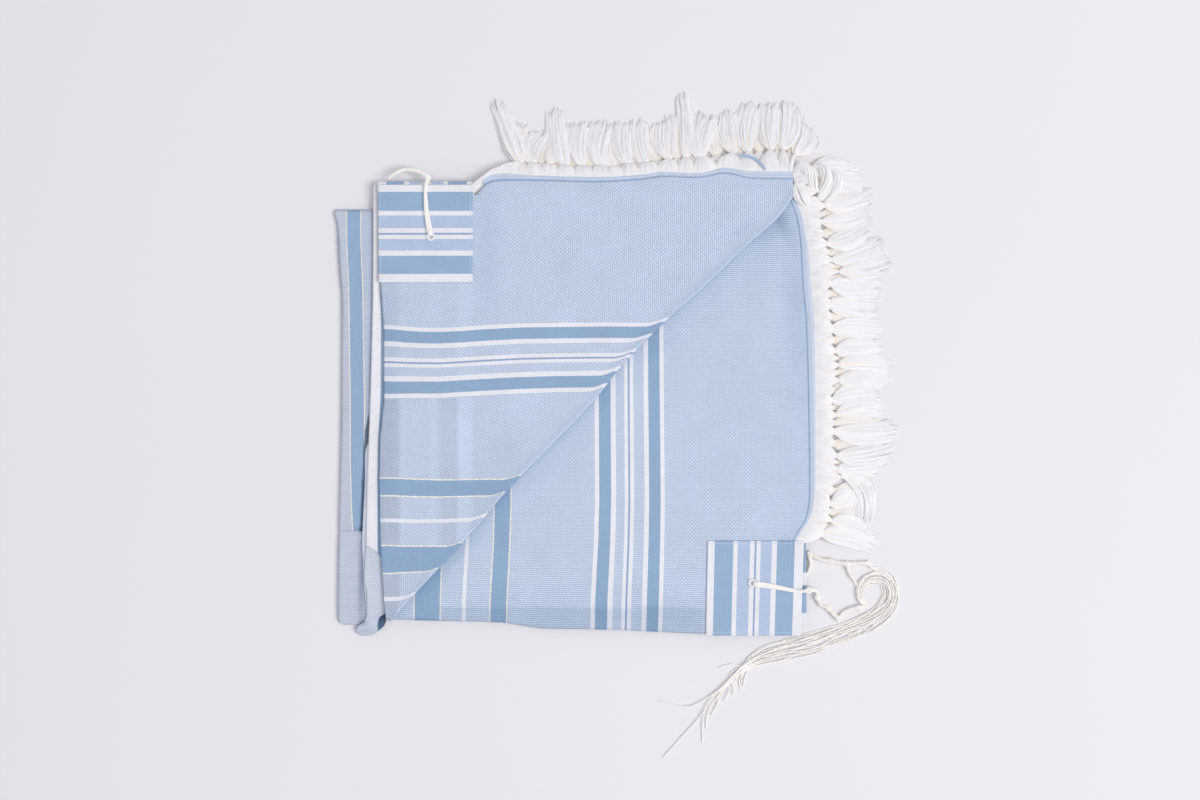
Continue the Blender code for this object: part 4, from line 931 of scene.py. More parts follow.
def hem_band(name, table, surface, node, deeper=0):
    """A rounded band beside the hem's line: across it runs a flattened ellipse with a groove where
    it is stitched down. Its deep line is wider by the given amount. Returns its outer edge."""
    rows = curve_through(table, HEM_STEPS)
    line = np.column_stack([rows[:, :2], surface(rows[:, 0], rows[:, 1])])
    out = sideways(line)
    width = rows[:, 2]
    turn = np.linspace(0, 2 * math.pi, 20, endpoint=False)[None]
    flat = np.sign(np.cos(turn)) * np.abs(np.cos(turn)) ** 0.7
    far = SEWN - 0.3 + (width[:, None] + 0.3) * (1 - flat) / 2
    reach = distances(line)
    pucker = 0.12 * np.sin(reach / 3.1)[:, None] + 0.1 * np.sin(reach / 1.9 + 1)[:, None]
    groove = 0.45 * np.exp(-(((far - 1.6) / 0.7) ** 2))
    thick = (HEM / 2 + pucker - groove) * np.sign(np.sin(turn)) * np.abs(np.sin(turn)) ** 0.6
    points = line[:, None] + out[:, None] * far[..., None]
    points[..., 2] += thick
    cloth_map = np.stack([far - deeper, np.broadcast_to(reach[:, None], far.shape)], axis=-1)
    count = turn.size
    faces = grid_faces(len(line), count, around=True).tolist()
    faces.append(list(range(count))[::-1])
    faces.append(list(range((len(line) - 1) * count, len(line) * count)))
    new_piece(name, points, faces, cloth_map, hem_cloth, [node] if node else [])
    return line + out * (SEWN + width)[:, None]


under_edge = hem_band("end_hem_lower", UNDER_HEM, under_z, "end_hem_under")
flap_edge = hem_band("end_hem_turned", FLAP_HEM, flap_z, "end_hem_flap")
hem_band("end_hem_corner", CORNER_HEM, lambda x, y: CORNER_HEM_HEIGHT + 0 * x, None, 1)


# ------------------------------
# Corner patches. Each corner is faced on both sides with a square cut from striped satin ribbon
# cloth, stitched down near its edges, with an eyelet in its middle for the tzitzit.
# ------------------------------
PATCH = 1
PATCH_RISE = CLOTH / 2 + LIE + PATCH / 2
PATCH_UNDER = ((112, -234.8), (207, -234.8), (210, -140), (113.9, -140))
PATCH_UNDER_BACK = ((198.8, -225.5), (213.4, -223), (212.6, -142), (198.8, -142))
PATCH_FLAP = ((-215, 118.4), (-121.2, 118.6), (-121.2, 216), (-215.8, 216))
PATCH_FLAP_BACK = ((-217, 124), (-121.8, 124), (-121, 219.8), (-217.5, 219.6))
PATCH_BLUE = (0.305, 0.435, 0.600)
PATCH_LIGHT = (0.520, 0.620, 0.805)
PATCH_COLOURS = {**BAND_COLOURS, "deep": PATCH_BLUE, "plain": PATCH_LIGHT,
                 "gap": (0.450, 0.545, 0.720)}
# Distance across the patch where each band begins, and what is woven from there on
PATCH_STRIPES = ((0, "white"), (6.7, "deep"), (25.4, "white"), (30.4, "plain"), (42.4, "white"),
                 (47.1, "thin"), (48.9, "white"), (53.1, "plain"), (64.6, "white"), (69.4, "deep"),
                 (87.4, "white"), (120, "white"))
PATCH_SLIVER = ((0, "white"), (12, "deep"), (40, "white"), (53, "deep"), (96, "white"))
EYELET_UNDER = (158.3, -182.3)
EYELET_FLAP = (-163, 164)
EYELET_HOLE = 1.7
EYELET_DIP = 0.9
STITCH_LINE = 2.6  # millimetres from the rim of the patch
# The patch as its cloth is counted: its width, its height, and its height where it is turned
PATCH_WIDE = 96.6
PATCH_HIGH = 97.4
TURNED_HIGH = 95.9
SLIVER_ACROSS = 84  # of the patch, counted on the sliver

patch_cloth, sliver_cloth = (
    striped_cloth(name, table, PATCH_COLOURS, ((0, 120),), (2.4, 1.7, 0.6), 1.4)
    for name, table in (("patch_cloth", PATCH_STRIPES), ("patch_sliver_cloth", PATCH_SLIVER)))


def patch_under_z(x, y):
    return UNDER_MID + swell(x, y) + PATCH_RISE


def patch_flap_z(x, y):
    return flap_z(x, y) + PATCH_RISE


def patch_flap_back_z(x, y):
    return flap_z(x, y) - PATCH_RISE


def patch_under_back_z(x, y):
    return 6 + 0 * x


def patch_grid(corners, cells_x, cells_y, surface, turned, eyelet=None):
    """A four-cornered grid laid on a surface, a little puckered between its stitches. The stripes
    are counted from the left, or from the top where turned. The cloth dips into its eyelet."""
    low_left, low_right, high_right, high_left = (np.array(c) for c in corners)
    u = np.linspace(0, 1, cells_x + 1)[None, :, None]
    v = np.linspace(0, 1, cells_y + 1)[:, None, None]
    xy = (low_left * (1 - u) + low_right * u) * (1 - v) + (high_left * (1 - u) + high_right * u) * v
    x, y = xy[..., 0], xy[..., 1]
    rim = np.minimum(np.minimum(u, 1 - u), np.minimum(v, 1 - v))[..., 0] * 96
    pucker = 0.10 * np.sin(x / 3.3) * np.sin(y / 3.9 + 0.6) * np.exp(-((rim / 6) ** 2))
    z = surface(x, y) + pucker - 0.22 * np.exp(-(((rim - STITCH_LINE) / 0.8) ** 2))
    if eyelet:
        away = np.hypot(x - eyelet[0], y - eyelet[1])
        z = z - EYELET_DIP * np.exp(-((away / EYELET_HOLE) ** 4))
    u, v = np.broadcast_arrays(u[..., 0], v[..., 0])
    across = (1 - v) * TURNED_HIGH if turned else u * PATCH_WIDE
    along = u * PATCH_WIDE if turned else v * PATCH_HIGH
    return laid(x, y, z, across, along)


grid = patch_grid(PATCH_UNDER, 82, 82, patch_under_z, False, EYELET_UNDER)
patch_under = sheet_piece("patch_lower", [grid], PATCH, patch_cloth, ["corner_patch_under"])
grid = patch_grid(PATCH_FLAP, 82, 82, patch_flap_z, True, EYELET_FLAP)
patch_flap = sheet_piece("patch_turned", [grid], PATCH, patch_cloth, ["corner_patch_flap"])
points, cloth_map = patch_grid(PATCH_FLAP_BACK, 40, 40, patch_flap_back_z, False)
cloth_map[..., 0] = PATCH_HIGH - cloth_map[..., 0]
patch_flap_back = sheet_piece("patch_turned_back", [(points, cloth_map)], PATCH, patch_cloth,
                              ["corner_patch_flap_back"])
points, cloth_map = patch_grid(PATCH_UNDER_BACK, 16, 60, patch_under_back_z, True)
cloth_map[..., 0] = SLIVER_ACROSS - cloth_map[..., 0] * SLIVER_ACROSS / PATCH_HIGH
patch_under_back = sheet_piece("patch_lower_back", [(points, cloth_map)], PATCH, sliver_cloth,
                               ["corner_patch_under_back"])


# ------------------------------
# Stitching. Running stitches of pale thread hold each patch near two of its edges, and the eyelets
# are worked in white buttonhole stitch: a ring of close radial stitches round a dark hole.
# ------------------------------
THREAD_COLOUR = (0.640, 0.750, 0.890)
STITCH_LENGTH = 2.7
STITCH_PITCH = 3.1
STITCH_RADIUS = 0.36
EYELET_RING = 3.2
EYELET_BEAD = 1.25
EYELET_STITCHES = 34
EYELET_LIFT = 1.4  # of the ring's middle above the patch's


def thread_material(name, colour, roughness):
    """Twisted thread: slanting ridges from its own coordinates, and a slow change of tone."""
    material, tree, shader = new_material(name, roughness, 0.1)
    _, across, along = cloth_place(tree)
    ridge = wave((across + along * 1.4) * 6)
    tone = (ridge * 0.08 + 0.94) * cloudy(tree, 0.004, 0.14)
    finish(shader, scaled(colour, tone), ridge, 0.5, 0.0002)
    return material


stitch_thread = thread_material("stitch_thread", THREAD_COLOUR, 0.6)
eyelet_thread = thread_material("eyelet_thread", (0.86, 0.86, 0.88), 0.6)


def stitch_row(start, end, surface):
    """Capsules laid end to end along a straight line on a surface: each an ellipse turned about its
    length, half sunk in the cloth. Points stitches x rings x sides."""
    start, end = np.array(start), np.array(end)
    length = np.linalg.norm(end - start)
    count = int(length / STITCH_PITCH)
    along = (end - start) / length
    side = np.array([-along[1], along[0]])
    middle = (np.arange(count) + 0.5) / count * length
    place = np.linspace(-1, 1, 7)[None, :, None] * 0.98
    turn = np.arange(6)[None, None] * math.pi / 3
    far = middle[:, None, None] + place * STITCH_LENGTH / 2
    radius = STITCH_RADIUS * np.sqrt(1 - place**2)
    x = start[0] + along[0] * far + side[0] * radius * np.cos(turn)
    y = start[1] + along[1] * far + side[1] * radius * np.cos(turn)
    z = surface(x, y) + PATCH / 2 - 0.14 + radius * np.sin(turn)
    return np.stack([x, y, z], axis=-1)


def ring_faces(bodies, rings, sides):
    """Quads round many closed bodies of rings, and a cap at each end."""
    one = grid_faces(rings, sides, around=True)
    quads = (np.arange(bodies)[:, None, None] * rings * sides + one[None]).reshape(-1, 4)
    first = np.arange(bodies)[:, None] * rings * sides
    low = first + np.arange(sides)[None, ::-1]
    high = first + (rings - 1) * sides + np.arange(sides)[None]
    return quads.tolist() + low.tolist() + high.tolist()


def stitches(name, lines, surface, node):
    """The running stitches of one patch as one piece."""
    rows = np.concatenate([stitch_row(start, end, surface) for start, end in lines])
    cloth_map = rows[..., :2]
    return new_piece(name, rows, ring_faces(*rows.shape[:3]), cloth_map, stitch_thread,
                     node)


def buttonhole_ring(name, centre, surface, node):
    """A flattened torus whose section swells once for each stitch."""
    x0, y0 = centre
    around = np.linspace(0, 2 * math.pi, EYELET_STITCHES * 6, endpoint=False)[:, None]
    turn = np.linspace(0, 2 * math.pi, 12, endpoint=False)[None]
    bead = EYELET_BEAD * (1 + 0.14 * np.cos(around * EYELET_STITCHES)) * (1 + 0.05 * np.sin(around * 3))
    far = EYELET_RING + bead * np.cos(turn)
    z = float(surface(np.array(x0), np.array(y0))) + EYELET_LIFT + bead * 0.5 * np.sin(turn)
    points = np.stack([x0 + far * np.cos(around), y0 + far * np.sin(around), z], axis=-1)
    faces = grid_faces(*points.shape[:2], around=True, closed=True)[:, (0, 3, 2, 1)].tolist()
    cloth_map = np.stack(np.broadcast_arrays(around * EYELET_RING, turn * EYELET_BEAD), axis=-1)
    return new_piece(name, points, faces, cloth_map, eyelet_thread, [node])


stitches("stitches_patch_lower", (((114.5, -142.4), (208.5, -142.4)), ((113, -232), (206.5, -232))),
         patch_under_z, [])
stitches("stitches_patch_turned", (((-213.2, 119.5), (-213.8, 215)), ((-123.4, 119.5), (-123.4, 215))),
         patch_flap_z, [])
buttonhole_ring("eyelet_ring_lower", EYELET_UNDER, patch_under_z, "eyelet_under")
buttonhole_ring("eyelet_ring_turned", EYELET_FLAP, patch_flap_z, "eyelet_flap")


# ------------------------------
# Knotted fringe. The warp yarns of each end leave the hem side by side, are gathered into bunches
# that puff up before their knot, and below it open out into soft, broad tassels of loose yarn.
# ------------------------------
FRINGE_WHITE = (0.785, 0.780, 0.800)
FRINGE_SHADE_CREAM = (0.720, 0.615, 0.455)
KNOT_HEIGHT = 6
KNOT_LOOP = 1.6
KNOT_YARN = 1.20
ROOT_PITCH = 0.52  # between neighbouring yarns along the hem
ROOT_RADIUS = 0.52
YARN_RADIUS = 0.54
YARN_RINGS = 7
LOCKS = 17
LOCK_YARNS = 9
LOWER_YARNS = 5  # to a lock of the tassels beneath
LOWER_KNOT = 2.6  # height of their knots
STRAY_YARNS = 14
LOOP_YARNS = 76  # in a looped bunch
PILE_HEIGHT = 6.6  # of the yarns lying in a tassel
WIDEST_BASE = 21

# Each tassel: knot x, y, tip x, y, width at the tip, sideways bow
TOP_TASSELS = (
    (-73, 240, -98, 302, 12, 0),
    (-61, 240, -57, 274, 24, 6),
    (-45, 239, -37, 272, 20, -5),
    (-28, 237, -41, 298, 14, 3),
    (-11, 236, -12, 282, 20, 4),
    (7, 237, 10, 285, 20, 4),
    (20, 236, -10, 266, 10, 5),
    (34, 239, 27, 284, 18, 3),
    (52, 240, 44, 287, 14, 3),
    (76, 243, 72, 285, 24, 3),
    (92, 246, 90, 312, 10, -3),
    (106, 246, 112, 292, 24, 3),
    (141, 250, 135, 294, 12, 2),
    (155, 252, 160, 302, 22, 3),
    (178, 254, 177, 302, 16, 2),
    (190, 255, 200, 302, 22, -3),
    (203, 250, 219, 277, 18, -3),
)
RIGHT_TASSELS = (
    (217, 227, 268, 233, 14, 5),
    (226, 211, 272, 218, 14, 6),
    (234, 197, 284, 207, 16, -5),
    (229, 180, 279, 190, 20, -4),
    (235, 158, 279, 176, 16, -4),
    (241, 142, 294, 160, 14, -4),
    (248, 130, 301, 141, 20, -2),
    (240, 119, 295, 112, 16, -3),
    (239, 98, 292, 93, 22, -2),
    (242, 72, 296, 71, 16, 2),
    (244, 50, 291, 53, 14, 2),
    (247, 36, 302, 37, 14, 3),
    (247, 21, 303, 20, 14, 2),
    (240, 0, 288, 10, 14, 3),
    (244, -14, 292, -6, 18, 5),
    (243, -30, 309, -31, 18, -4),
    (245, -55, 303, -46, 16, -3),
    (247, -68, 298, -62, 16, -2),
    (250, -76, 277, -123, 16, 12),
    (238, -104, 268, -99, 14, 5),
    (240, -121, 279, -133, 14, 3),
    (232, -134, 290, -147, 16, 3),
)
# The end of the hem's outer edge runs on for a short way: the yarns of the upper left corner stand
# on this line, and those of the upper right corner come out from under the fold
TOP_LEAD = ((-131, 197, 10.5), (-129.5, 204, 10.5), (-124, 213, 11.5))
# Looped bunches at the upper right corner: width, then x, y, z along each
CORNER_LOOPS = (
    (12, ((201.5, 229, 11), (207, 235, 12), (214, 230.5, 11.5), (219, 219, 9),
            (223, 209, 7))),
    (13, ((199.5, 216, 13), (203.5, 208.5, 13.2), (210, 201, 11.4), (219.5, 195.5, 8.6))),
    (13, ((221, 238, 6.5), (230, 233, 9), (233.5, 221, 9), (230, 209, 7.5),
            (225, 201, 6))),
    (11, ((238, 236, 5.5), (244.5, 226, 7), (243.5, 213, 7), (237, 203, 6),
            (231, 199, 5))),
)
# The line on which that corner's yarns stand
RIGHT_LEAD = ((200.5, 228.5, 9.6), (202.5, 219, 9.4), (202.8, 210, 9))


def fringe_material():
    """White yarn with painted shade that turns it cream deep in the bunches: the map's first value is how
    deep.
    """
    material, tree, shader = new_material("fringe_yarn", 0.9, 0.1)
    # A faint glow, which is painted light: it lifts the shade between the yarns
    set_inputs(shader, {"Emission Color": (1, 0.98, 0.97, 1), "Emission Strength": 0.11})
    _, deep, along = cloth_place(tree)
    colour = scaled(mixed(deep, FRINGE_WHITE, FRINGE_SHADE_CREAM), cloudy(tree, 0.008, 0.06))
    finish(shader, colour, wave(along * 3.4), 0.3, 0.0001)
    return material


fringe_yarn = fringe_material()


def tubes(paths, radii, sides, twist=0, ply=0, side=None):
    """Rings square to each path, at their radius: paths x rings x sides points. Where ply is above
    0 the section swells at two sides, and the swelling turns about the strand with its twist."""
    along = np.gradient(paths, axis=1)
    along /= np.linalg.norm(along, axis=-1, keepdims=True)
    if side is None:
        side = np.stack([-along[..., 1], along[..., 0], 0 * along[..., 0]], axis=-1)
        side /= np.maximum(np.linalg.norm(side, axis=-1, keepdims=True), 1e-6)
    up = np.cross(along, side)
    turn = np.arange(sides) * 2 * math.pi / sides
    twist, radius = (np.broadcast_to(v, paths.shape[:2])[..., None] for v in (twist, radii))
    radius = radius * (1 + ply * np.cos(2 * (turn - twist)))
    ring = side[:, :, None] * np.cos(turn)[:, None] + up[:, :, None] * np.sin(turn)[:, None]
    return paths[:, :, None] + ring * radius[..., None]


def strand_map(points, paths, deep):
    """The map of strands: how deep each point lies, and its distance along its strand."""
    far = distances(paths)
    return np.stack([np.broadcast_to(v[..., None], points.shape[:3])
                     for v in (np.broadcast_to(deep, far.shape), far)], axis=-1)


def add_strands(parts, points, cloth_map):
    """Adds closed strands to a list of parts: points, faces and map, with faces counted on."""
    first = sum(len(part[0]) for part in parts)
    faces = [[first + i for i in face] for face in ring_faces(*points.shape[:3])]
    parts.append((points.reshape(-1, 3), faces, cloth_map.reshape(-1, 2)))


def add_tubes(parts, paths, radii, sides, deep=0, **turned):
    """Adds closed tubes along these paths, lying this deep in their bunch."""
    points = tubes(paths, radii, sides, **turned)
    add_strands(parts, points, strand_map(points, paths, deep))


def joined(name, parts, material, nodes):
    """All parts as one piece."""
    points = np.concatenate([part[0] for part in parts])
    faces = [face for part in parts for face in part[1]]
    cloth_map = np.concatenate([part[2] for part in parts])
    return new_piece(name, points, faces, cloth_map, material, nodes)


def root_yarns(start, outward, place, knot, chance):
    """Yarns from the hem to a knot. Each is a cubic curve that leaves the hem squarely, and turns
    in to the knot near its end, so that the bunch has a rounded outline; all arch up a little."""
    count = len(start)
    t = np.linspace(0, 1, YARN_RINGS)[None, :, None]
    ahead = knot[:2] - start[:, :2]
    depth = np.clip(np.sum(ahead * outward[:, :2], axis=1), 7, 13)[:, None]
    leave = start[:, :2] + outward[:, :2] * depth * chance.uniform(0.72, 0.95, (count, 1))
    arrive = knot[:2] - ahead * 0.40 + outward[:, :2] * 4.4
    first = start[:, :2] - outward[:, :2] * 1.6
    path = ((1 - t) ** 3 * first[:, None] + 3 * (1 - t) ** 2 * t * leave[:, None]
            + 3 * (1 - t) * t**2 * arrive[:, None] + t**3 * knot[:2])
    t = t[..., 0]
    arch = 1.2 + 2.6 * (1 - place[:, None] ** 2) + chance.uniform(-0.6, 0.9, (count, 1))
    height = start[:, 2:3] + (knot[2] - start[:, 2:3]) * t + arch * np.sin(math.pi * t**0.7)
    deep = np.clip(0.05 + 0.25 * t**4 + 0.12 * np.abs(place[:, None]) ** 6, 0, 1)
    return np.concatenate([path, height[..., None]], axis=-1), np.broadcast_to(deep, height.shape)


def header(parts, line, knots, pitch, chance):
    """All yarns between a hem and its knots: those nearest to a knot, halfway to its neighbours."""
    out = sideways(line)
    reach = distances(line)
    stand = [reach[np.argmin(np.linalg.norm(line[:, :2] - knot[:2], axis=1))] for knot in knots]
    stand = np.maximum.accumulate(stand)
    bounds = np.concatenate([[0], (stand[1:] + stand[:-1]) / 2, [reach[-1]]])
    for low, high, knot in zip(bounds, bounds[1:], knots):
        count = max(int((high - low + 2.4) / pitch), 8)
        at = np.linspace(low - 1.2, high + 1.2, count) + chance.uniform(-0.2, 0.2, count)
        at = np.clip(at, 0, reach[-1])
        start = along_line(line, reach, at)
        start[:, 2] -= 0.4
        outward = along_line(out, reach, at)
        path, deep = root_yarns(start, outward, np.linspace(-1, 1, count), knot, chance)
        add_tubes(parts, path, ROOT_RADIUS, 3, deep)


def tassel_form(t, knot, row, base):
    """A tassel's way to its tip, the level direction beside that, half its width at each share of
    its length, with how it fans out at once, and how far it has settled there."""
    ahead = np.array(row[2:4]) - knot[:2]
    side = np.array([-ahead[1], ahead[0]]) / np.linalg.norm(ahead)
    wide = max(base, row[4]) / 2
    half = np.interp(t, (0, 0.3, 1), (wide, wide, row[4] / 2 + 1))
    return ahead, side, half * (1 - (1 - t) ** 4.5 * 0.9), ease(t * 1.35)


def tassel_yarns(knot, row, base, pile, back, per_lock, chance):
    """Yarns from a knot. They hang together in locks, which fan out at once, wave and curl at their
    tips, and settle from the knot's height into a pile on the surface. Near the knot the tassel is
    as wide as its base, and starts a little back from it. The ends are uneven."""
    lock = np.repeat(np.arange(LOCKS), per_lock)
    lock_place = 2 * (np.arange(LOCKS) + 0.5) / LOCKS - 1 + chance.uniform(-0.06, 0.06, LOCKS)
    lock_layer = chance.uniform(0, 1, LOCKS)
    count = len(lock) + STRAY_YARNS
    stray = (np.arange(count) >= len(lock))[:, None]
    lock = np.concatenate([lock, chance.integers(0, LOCKS, STRAY_YARNS)])

    def own(low, high):
        return chance.uniform(low, high, (count, 1))

    place = (lock_place[lock] + chance.uniform(-0.13, 0.13, count))[:, None]
    place = np.where(stray, place * 1.12 + own(-0.2, 0.2), place)
    layer = np.clip(lock_layer[lock][:, None] * 0.6 + own(0, 0.4), 0, 1)
    t = np.linspace(0, 1, YARN_RINGS)[None]
    ahead, side, half, settle = tassel_form(t, knot, row, base)
    lock_length = 1 + chance.uniform(-0.11, 0.06, LOCKS) - 0.07 * lock_place**2
    length = lock_length[lock][:, None] + own(-0.07, 0.045)
    lock_phase = chance.uniform(0, 2 * math.pi, LOCKS)
    lock_curl = chance.uniform(-1, 1, LOCKS)
    phase = lock_phase[lock][:, None] + own(-0.5, 0.5)
    curl = lock_curl[lock][:, None] + own(-0.4, 0.4)
    sway = own(0.3, 0.8) * np.where(stray, 2.2, 1)
    aside = place * half + row[5] * np.sin(math.pi * t)
    aside = aside + sway * t * np.sin(phase + t * 6.5) + 2.2 * curl * t**4
    ahead_share = t * length - np.abs(curl) * 0.03 * t**4 - back
    xy = knot[:2] + ahead * ahead_share[..., None] + side * aside[..., None]
    pile_here = pile * np.sqrt(np.clip(1 - 0.7 * place**2, 0.1, 1)) * (1 - 0.45 * t**2)
    rest = 0.7 + layer * pile_here + 0.3 * np.sin(phase * 2 + t * 7)
    body = (layer - 0.35) * 3.4 * np.sqrt(np.clip(t * 5, 0, 1))
    z = knot[2] + body * (1 - settle) + (rest - knot[2]) * settle
    deep = np.clip((1 - t) ** 1.6 * (0.95 - 1.1 * layer), 0, 1) * 0.9
    return np.concatenate([xy, np.maximum(z, 0.6)[..., None]], axis=-1), deep


def tassel_body(knot, row, base, pile, back):
    """The mass of yarns inside a tassel: a flattened body along it, grooved between its locks."""
    t = np.linspace(0, 1, 8)[:, None]
    turn = np.linspace(0, 2 * math.pi, 28, endpoint=False)[None]
    ahead, side, half, settle = tassel_form(t, knot, row, base)
    round_end = np.sqrt(np.clip(1.02 - t**5, 0, 1))
    groove = 1 + 0.05 * np.cos(11 * turn + row[0])
    aside = half * 0.93 * round_end * np.cos(turn) * groove + row[5] * np.sin(math.pi * t)
    xy = knot[:2] + ahead * (0.86 * t - back)[..., None] + side * aside[..., None]
    low = knot[2] - 2.2 + (0.5 - knot[2] + 2.2) * settle
    high = knot[2] + 1.2 + (pile * 0.62 * (1 - 0.45 * t**2) - knot[2] - 1.2) * settle
    z = (low + high) / 2 + (high - low) / 2 * np.sin(turn) * groove * round_end
    points = np.concatenate([xy, np.maximum(z, 0.5)[..., None]], axis=-1)[None]
    deep = np.broadcast_to(0.75 * (1 - t) ** 2 + 0.08, z.shape)
    return points, np.stack([deep, np.broadcast_to(t * 40, z.shape)], axis=-1)[None]


def trefoil(steps, size, rise, turned):
    """The line of an overhand knot: a trefoil, turned by an angle. Its turn, then its points."""
    t = np.linspace(0, 2 * math.pi, steps)[None]
    x = (np.sin(t) + 2 * np.sin(2 * t)) / 3 * size
    y = (np.cos(t) - 2 * np.cos(2 * t)) / 3 * size
    c, s = math.cos(turned), math.sin(turned)
    return t, np.stack([x * c - y * s, x * s + y * c, -np.sin(3 * t) * rise], axis=-1)


def looped_bunch(width, rows, chance):
    """A bunch of yarns that runs side by side along a loop, rounded in section."""
    middle = curve_through(rows, 16)
    side = sideways(middle)
    count = LOOP_YARNS
    turn = chance.uniform(0, 2 * math.pi, (count, 1, 1))
    share = np.sqrt(chance.uniform(0.2, 1, (count, 1, 1)))
    t = np.linspace(0, 1, len(middle))[None, :, None]
    slim = 0.3 + 0.7 * np.sin(math.pi * t) ** 0.8
    turn = turn + 2.2 * t
    aside = side[None] * np.cos(turn) * share * slim * width / 2
    rise = np.sin(turn) * share * slim * width * 0.36
    path = middle[None] + aside
    path[..., 2:] += rise - 3 * (1 - np.sin(math.pi * t) ** 0.5)
    path[..., 2] = np.maximum(path[..., 2], 0.7)
    deep = np.clip(0.22 - 0.25 * np.sin(turn[..., 0]) * share[..., 0], 0, 0.5)
    return path, np.broadcast_to(deep, path.shape[:2])


def knot_points(tassels):
    """Where the knots lie: each a little higher or lower than the next."""
    rows = np.array([row[:2] for row in tassels])
    height = KNOT_HEIGHT + 0.7 * np.sin(2.4 * np.arange(len(rows)))
    return np.column_stack([rows, height])


def beneath(tassels):
    """Tassels of the fringe beneath: between each two of the upper ones, lower and shorter."""
    rows = np.array(tassels)
    middle = (rows[1:] + rows[:-1]) / 2
    apart = np.linalg.norm(rows[1:, :2] - rows[:-1, :2], axis=1)
    tips = middle[:, :2] + (middle[:, 2:4] - middle[:, :2]) * 0.88
    middle = np.column_stack([middle[:, :2], tips, np.clip(apart * 1.1, 12, 22), middle[:, 5]])
    heights = np.full(len(middle), LOWER_KNOT)
    return np.column_stack([middle[:, :2], heights]), middle


def fringe(name, node, line, tassels, loops, seed):
    """One end's fringe as three pieces: the tassels, the bunches between the hem and the knots, and
    the tassels of the layer beneath."""
    chance = np.random.default_rng(seed)
    knots = knot_points(tassels)
    loose, gathered, lower = [], [], []
    radii = YARN_RADIUS * (1 - 0.35 * np.linspace(0, 1, YARN_RINGS)[None] ** 4)
    for number, (knot, row) in enumerate(zip(knots, tassels)):
        near = np.sort(np.linalg.norm(knots[:, :2] - knot[:2], axis=1))[1:3].mean()
        base = min(1.2 * near, WIDEST_BASE)
        pile = PILE_HEIGHT + 1 * math.sin(number * 1.3)
        back = chance.uniform(0.03, 0.12)
        path, deep = tassel_yarns(knot, row, base, pile, back, LOCK_YARNS, chance)
        add_tubes(loose, path, radii, 3, deep)
        add_strands(gathered, *tassel_body(knot, row, base, pile, back))
        t, loop = trefoil(30, KNOT_LOOP * 1.2, 1.1, number * 1.9)
        add_tubes(gathered, loop + knot, KNOT_YARN, 7, 0.10 + 0.10 * np.cos(3 * t), twist=t * 3, ply=0.08)
    header(gathered, line, knots, ROOT_PITCH, chance)
    for width, rows in loops:
        path, deep = looped_bunch(width, rows, chance)
        add_tubes(gathered, path, ROOT_RADIUS, 3, deep)
    low_knots, low_tassels = beneath(tassels)
    for knot, row in zip(low_knots, low_tassels):
        path, deep = tassel_yarns(knot, row, row[4], 3, 0.1, LOWER_YARNS, chance)
        # The tassels beneath get more of the painted cream shade
        add_tubes(lower, path[:, ::2], 1.1 * radii[:, ::2], 3, np.clip(deep[:, ::2] + 0.15, 0, 1))
        add_strands(lower, *tassel_body(knot, row, row[4], 2.6, 0.1))
    low_line = line * (1, 1, 0) + (0, 0, LOWER_KNOT + 1.5)
    header(lower, low_line, low_knots, 2 * ROOT_PITCH, chance)
    for label, parts in (("_tassels", loose), ("_bunches", gathered), ("_beneath", lower)):
        joined(name + label, parts, fringe_yarn, [node])


top_line = np.vstack([TOP_LEAD, flap_edge])
fringe("fringe_top", "fringe_top", top_line, TOP_TASSELS, (), 11)
right_line = np.vstack([RIGHT_LEAD, under_edge])
fringe("fringe_right", "fringe_right", right_line, RIGHT_TASSELS, CORNER_LOOPS, 12)


# ------------------------------
# Tzitzit. Eight ivory wool strings pass through each eyelet: doubled over the patch, then wound and
# knotted into a head, from which the strings run on loose. Those of two corners lie at the lower
# right. At the upper left only the start of one shows, which goes round behind the corner.
# ------------------------------
IVORY = (0.900, 0.872, 0.830)
STRING = 0.66
WINDING = 0.62
WINDING_PITCH = 1.35
CORD_RADIUS = 0.80
CORD_STRINGS = ((-2, 0), (-0.7, 0.35), (0.7, 0.25), (2, 0))  # aside, higher
UPPER_STRINGS = 3.3
LOWER_STRINGS = 1.2
CORD_UNDER = ((159.6, -182.3, 1), (160.2, -182.4, 2.4), (161.8, -182.7, 3.3), (164, -183.1, 3.3),
              (166.6, -183.6, 2.4), (181, -185.8, 2.3), (198, -189.2, 2.4))
CORD_FLAP = ((-163, 165.3, 1), (-163.1, 166, 2.4), (-163.4, 167.6, 3.3), (-163.8, 169.8, 3.3),
             (-164.3, 172.3, 2.6), (-167, 189, 2.6), (-168, 206, 2.8))
# Knotted and wound heads: x, y, z, radius
HEAD_UNDER = ((203, -190.2, 13.4, 1.5), (209, -190, 13.7, 1.7), (214.6, -189.4, 12.6, 2.9),
              (220.5, -189.6, 8, 2.1), (224.2, -192, 4.6, 2.1), (224.6, -197.5, 3.4, 2.8),
              (228, -205, 3, 2.1), (236, -209, 3, 2.4), (246, -219, 3.2, 2.6),
              (250, -213.5, 3.2, 2.1), (258, -209.5, 3, 2.3), (266.5, -208, 3.4, 2.8),
              (273, -205.5, 3.6, 1.9))
HEAD_LOWER = ((205, -176.5, 2.6, 1.9), (214, -174, 2.8, 2.1), (218, -164, 3, 2.2),
              (217, -154, 3.4, 2.8), (228, -159.5, 3, 2.2), (238, -161, 3.4, 2.8),
              (246, -162.6, 3, 2.2), (254.5, -163.8, 3.4, 2.8), (266, -163.2, 3, 2.2),
              (275.5, -163.2, 3.2, 2.6), (278.8, -167.2, 2.4, 1.6))
HEAD_BRANCH = ((254.5, -163.8, 3.2, 2), (256, -171, 2.8, 2), (259, -177, 2.6, 1.9),
               (261.5, -180.5, 2, 1.3))
